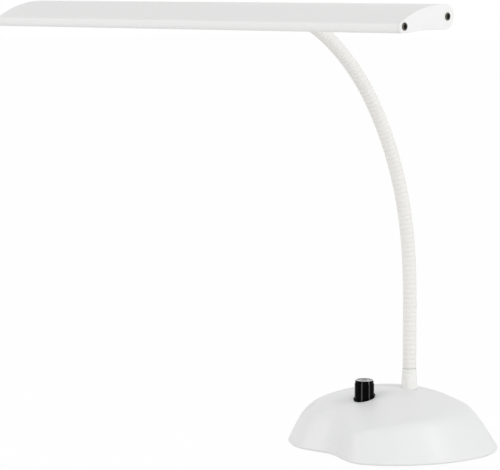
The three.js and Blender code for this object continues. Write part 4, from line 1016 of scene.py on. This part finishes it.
cut_by(
    hollow,
    brick(in_bar(-240, 0, web), in_bar(240, bar_depth, web + 1.2)),
    *[along_bar(screw_boss, place, 32) for place in cap_screws.values()],
)
pocket = drawn_up("mount_pocket", [bar_ring(-17, bar_wall), bar_ring(17, bar_wall)])
cut_by(pocket, brick(in_bar(-20, 44.7, sole + bar_wall), in_bar(20, 64, 23)), operation="INTERSECT")
cut_by(
    housing,
    hollow,
    pocket,
    brick(in_bar(-240, window_front, -2), in_bar(240, window_back, sole + bar_wall + 2)),
    rod(mount_hole, 40, in_bar(0, back_middle, mount_height), (0, 1, 0)),
    *[along_bar(screw_bore, place, 24) for place in cap_screws.values()],
)
smoothed(housing, 32)
powder_white = Finish("powder_white", Roughness=0.4, IOR=1.5, Coat_Roughness=0.25)
peel = powder_white.noise(620, 3)
fine_peel = powder_white.noise(2600, 2)
powder_cloud = powder_white.noise(11, 3)
rub = ((powder_white.noise(85, 6) - 0.6) * 7).held()
powder_white.wear(
    Base_Color=powder_white.tint(powder_cloud, (0.84, 0.84, 0.832), (0.825, 0.826, 0.82)),
    Roughness=0.36 + 0.1 * peel + 0.06 * rub,
    Normal=powder_white.grain(peel + 0.3 * fine_peel, 0.03, 0.4),
)
dressed(housing, powder_white, "white_powder_coat", "head", "light_bar_housing")


# Diffuser: an opal acrylic strip that slides into the window under the bar and is held by its two flanges.
diffuser_low = sole + bar_wall + 0.3


def strip_ring(x):
    front, back, lap, floor, high = window_front + 0.3, window_back - 0.3, 2.3, sole + 0.3, diffuser_low + 2
    lap_front, lap_back = front - 0.3 - lap, back + 0.3 + lap
    corners = [
        (front, floor), (back, floor), (back, diffuser_low), (lap_back, diffuser_low), (lap_back, high),
        (lap_front, high), (lap_front, diffuser_low), (front, diffuser_low),
    ]
    return [in_bar(x, y, z) * mm for y, z in corners]


diffuser = drawn_up("opal_strip", [strip_ring(-half_housing), strip_ring(half_housing)])
applied(diffuser, "BEVEL", width=0.18 * mm, segments=2, limit_method="ANGLE")
smoothed(diffuser)
opal_acrylic = Finish("opal_acrylic", Roughness=0.3, IOR=1.49, Transmission_Weight=0.18)
milk = opal_acrylic.noise(24, 3)
drawn_lines = opal_acrylic.noise(900, 3, Scale=(0.01, 1, 1))
opal_acrylic.wear(
    Base_Color=opal_acrylic.tint(milk, (0.9, 0.9, 0.88), (0.86, 0.862, 0.845)),
    Roughness=0.26 + 0.12 * drawn_lines,
    Normal=opal_acrylic.grain(drawn_lines, 0.012, 0.4),
)
dressed(diffuser, opal_acrylic, "opal_diffuser", "head", "diffuser")


# Light board: a white masked aluminium strip with 24 diodes, whose yellow phosphor shows as small windows.
board_low, board_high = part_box("led_board")
led_mask = Finish("light_board", Roughness=0.45)
across, deep, height = (led_mask.node("SeparateXYZ", Vector=led_mask.place(), out=axis) for axis in "XYZ")
diodes, diode_half_length, diode_half_width = 24, 1.25 * mm, 0.95 * mm
diode_pitch = (board_high.x - board_low.x) / diodes
along = (across - board_low.x) / diode_pitch
beat = along.worked("FRACT", along, 0) - 0.5
near_x = 1 - (beat.worked("ABSOLUTE", beat, 0) * (diode_pitch / diode_half_length)).over(1)
off_middle = deep - (board_low.y + board_high.y) / 2
near_y = 1 - (off_middle.worked("ABSOLUTE", off_middle, 0) / diode_half_width).over(1)
below = 1 - height.over(board_low.z + 0.3 * mm)
phosphor = near_x * near_y * below
copper = (led_mask.noise(1800, 2) - 0.5) * 0.2
led_mask.wear(
    Base_Color=led_mask.tint(phosphor, (0.78, 0.79, 0.775), (0.83, 0.6, 0.13)),
    Roughness=0.42 + copper,
    Normal=led_mask.grain(led_mask.noise(1500), 0.02, 0.4),
)
painted(led_mask, "led_board")


# End caps: die cast plates with the bar's section and a softened outer edge, each held by two black screws
# with pressed crosses.
cap_low, cap_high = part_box("end_cap_right")
half_bar, cap_inside = cap_high.x / mm, cap_low.x / mm
edge_round = 0.55
for side, name in ((1, "right"), (-1, "left")):
    rings = [bar_ring(side * cap_inside, 0.12), bar_ring(side * (cap_inside + 0.12), 0)]
    for quarter in range(6):
        turn = quarter / 5 * math.pi / 2
        x = half_bar - edge_round + edge_round * math.sin(turn)
        rings.append(bar_ring(side * x, edge_round * (1 - math.cos(turn))))
    cap = drawn_up(f"bar_end_{name}", rings)
    cut_by(cap, *[along_bar(screw_bore, place, 24) for place in cap_screws.values()])
    smoothed(cap, 38)
    dressed(cap, powder_white, "white_powder_coat", "head", f"end_cap_{name}")

black_screws = Finish("black_screws", Metallic=0.85, Roughness=0.34, Specular_IOR_Level=0.3)
polish = black_screws.noise(500, 4)
outward = black_screws.node("Attribute", {"attribute_name": "outward"}, out="Fac")
# Painted shade and highlight: near black in the cross's recess and at the rim, with a brighter brown-grey
# ring between them as the head's highlight.
head_ring_painted_highlight = ((outward - 0.55) * 8).held() * (1 - ((outward - 0.95) * 20).held())
head_ring_highlight_color = black_screws.tint(polish, (0.08, 0.071, 0.058), (0.13, 0.117, 0.097))
black_screws.wear(
    Base_Color=black_screws.tint(head_ring_painted_highlight, (0.006, 0.0056, 0.005), head_ring_highlight_color),
    Roughness=0.26 + 0.22 * polish,
    Normal=black_screws.grain(polish, 0.02, 0.5),
)
cap_screw = cross_screw(
    "cap_screw_model", head_radius=3.0, head_height=0.7, shank_radius=1.2, length=12, cross_reach=2.5,
    cross_depth=0.45,
)
for side, name in ((1, "right"), (-1, "left")):
    for where, place in cap_screws.items():
        bearing = in_bar(side * (half_bar + 0.05), *place) * mm
        turn = {"rear": 0.5, "front": 0.4}[where] + side * 0.3
        screw = copy_at(cap_screw, f"cap_screw_{name}_{where}", bearing, (-side, 0, 0), turn)
        dressed(screw, black_screws, "black_steel", "head", f"end_cap_screw_{name}_{where}")
bpy.data.objects.remove(cap_screw)


# Saddle and ferrule: a cast plate hollowed to the bar's back, and a turned ferrule that the neck is pressed
# into. The ferrule's threaded tail draws the saddle against the bar with a nut inside.
saddle_low, saddle_high = (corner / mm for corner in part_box("bar_saddle"))


def saddle_ring(y, inset):
    ring = []
    half_width = (saddle_high.x - saddle_low.x) / 2 - inset
    half_height = (saddle_high.z - saddle_low.z) / 2 - inset
    corner = 4 - inset
    for centre_x, centre_z, start in ((1, -1, -90), (1, 1, 0), (-1, 1, 90), (-1, -1, 180)):
        for step in range(9):
            turn = math.radians(start + step * 90 / 8)
            x = centre_x * (half_width - corner) + corner * math.cos(turn)
            z = centre_z * (half_height - corner) + corner * math.sin(turn)
            ring.append(Vector((x, y, bar_low.z + mount_height + z)) * mm)
    return ring


saddle_rings = [saddle_ring(saddle_low.y, 0)]
for quarter in range(5):
    turn = quarter / 4 * math.pi / 2
    saddle_rings.append(saddle_ring(saddle_high.y - 1 + math.sin(turn), 1 - math.cos(turn)))
saddle = drawn_up("cast_saddle", saddle_rings)
cut_by(
    saddle,
    rod(back_radius + 0.3, 60, in_bar(-30, back_middle, back_height), (1, 0, 0), 96),
    rod(mount_hole, 40, in_bar(0, back_middle, mount_height), (0, 1, 0)),
)
smoothed(saddle, 38)
dressed(saddle, powder_white, "white_powder_coat", "head", "bar_saddle")

ferrule_length = ferrule_high.y - ferrule_low.y
root = ferrule_length - 18
ferrule_profile = [(2.4, 0), (4.1, 0), (4.5, 0.4)]
for turn in range(int((root - 1.5) / 0.75)):
    low = 0.6 + turn * 0.75
    ferrule_profile += [(4.5, low), (4.2, low + 0.35)]
past_root = [
    (4.5, -0.6), (4.5, 0), (7.2, 0), (7.4, 0.2), (7.32, 1.8), (7.05, 2.1), (7.05, 2.5), (7.25, 2.8),
    (6.66, 13.8), (6.5, 14.1), (6.5, 14.5), (6.62, 14.8), (6.45, 17.4), (6.2, 17.85), (5.8, 18), (4.4, 18),
    (4.4, 9.7), (2.4, 9.7),
]
ferrule_profile += [(radius, root + reach) for radius, reach in past_root] + [(2.4, 0)]
ferrule = turned("turned_ferrule", ferrule_profile, 64)
ferrule_seat = Vector((0, ferrule_low.y, bar_low.z + mount_height)) * mm
ferrule.matrix_world = Matrix.Translation(ferrule_seat) @ Matrix.Rotation(math.radians(-90), 4, "X")
settle(ferrule)
smoothed(ferrule, 30)
dressed(ferrule, powder_white, "white_powder_coat", "head", "neck_ferrule")


# Inner hardware: zinc plated pipe, washers, nuts and the dimmer's can, the driver board with its coil,
# capacitor and chip, and the two-core leads. These are seen only with the lamp taken apart.
painted(
    zinc, "neck_pipe", "neck_washer", "neck_nut", "dimmer_body", "dimmer_washer", "dimmer_nut",
    "dimmer_shaft", "power_inlet_nut", "board_screw_1", "board_screw_2", "inner_saddle", "ferrule_nut",
)

driver_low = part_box("driver_board")[0]
driver = Finish("driver_board_mask", Roughness=0.4)
height = driver.node("SeparateXYZ", Vector=driver.place(), out="Z")
patches = driver.node("TexVoronoi", {"feature": "DISTANCE_TO_EDGE"}, Vector=driver.place(), Scale=260)
tracks = (patches * 9).held()
parts_up = height.over(driver_low.z + 1.9 * mm)
board_green = driver.tint(tracks, (0.07, 0.24, 0.1), (0.025, 0.13, 0.05))
driver.wear(
    Base_Color=driver.tint(parts_up, board_green, (0.05, 0.045, 0.04)),
    Roughness=0.34 + 0.16 * driver.noise(400, 3),
    Normal=driver.grain(tracks, 0.05, 0.5),
)
painted(driver, "driver_board")

lead_sheath = Finish("lead_sheath", Roughness=0.5)
lead_sheath.wear(
    Base_Color=lead_sheath.tint(lead_sheath.noise(300, 3), (0.68, 0.67, 0.64), (0.6, 0.59, 0.56)),
    Roughness=0.42 + 0.18 * lead_sheath.noise(500, 3),
    Normal=lead_sheath.grain(lead_sheath.noise(1800), 0.03, 0.4),
)
painted(lead_sheath, "inlet_lead", "dimmer_lead", "neck_lead", "bar_lead")

bpy.context.scene.view_settings.view_transform = "Standard"
leave_edit()
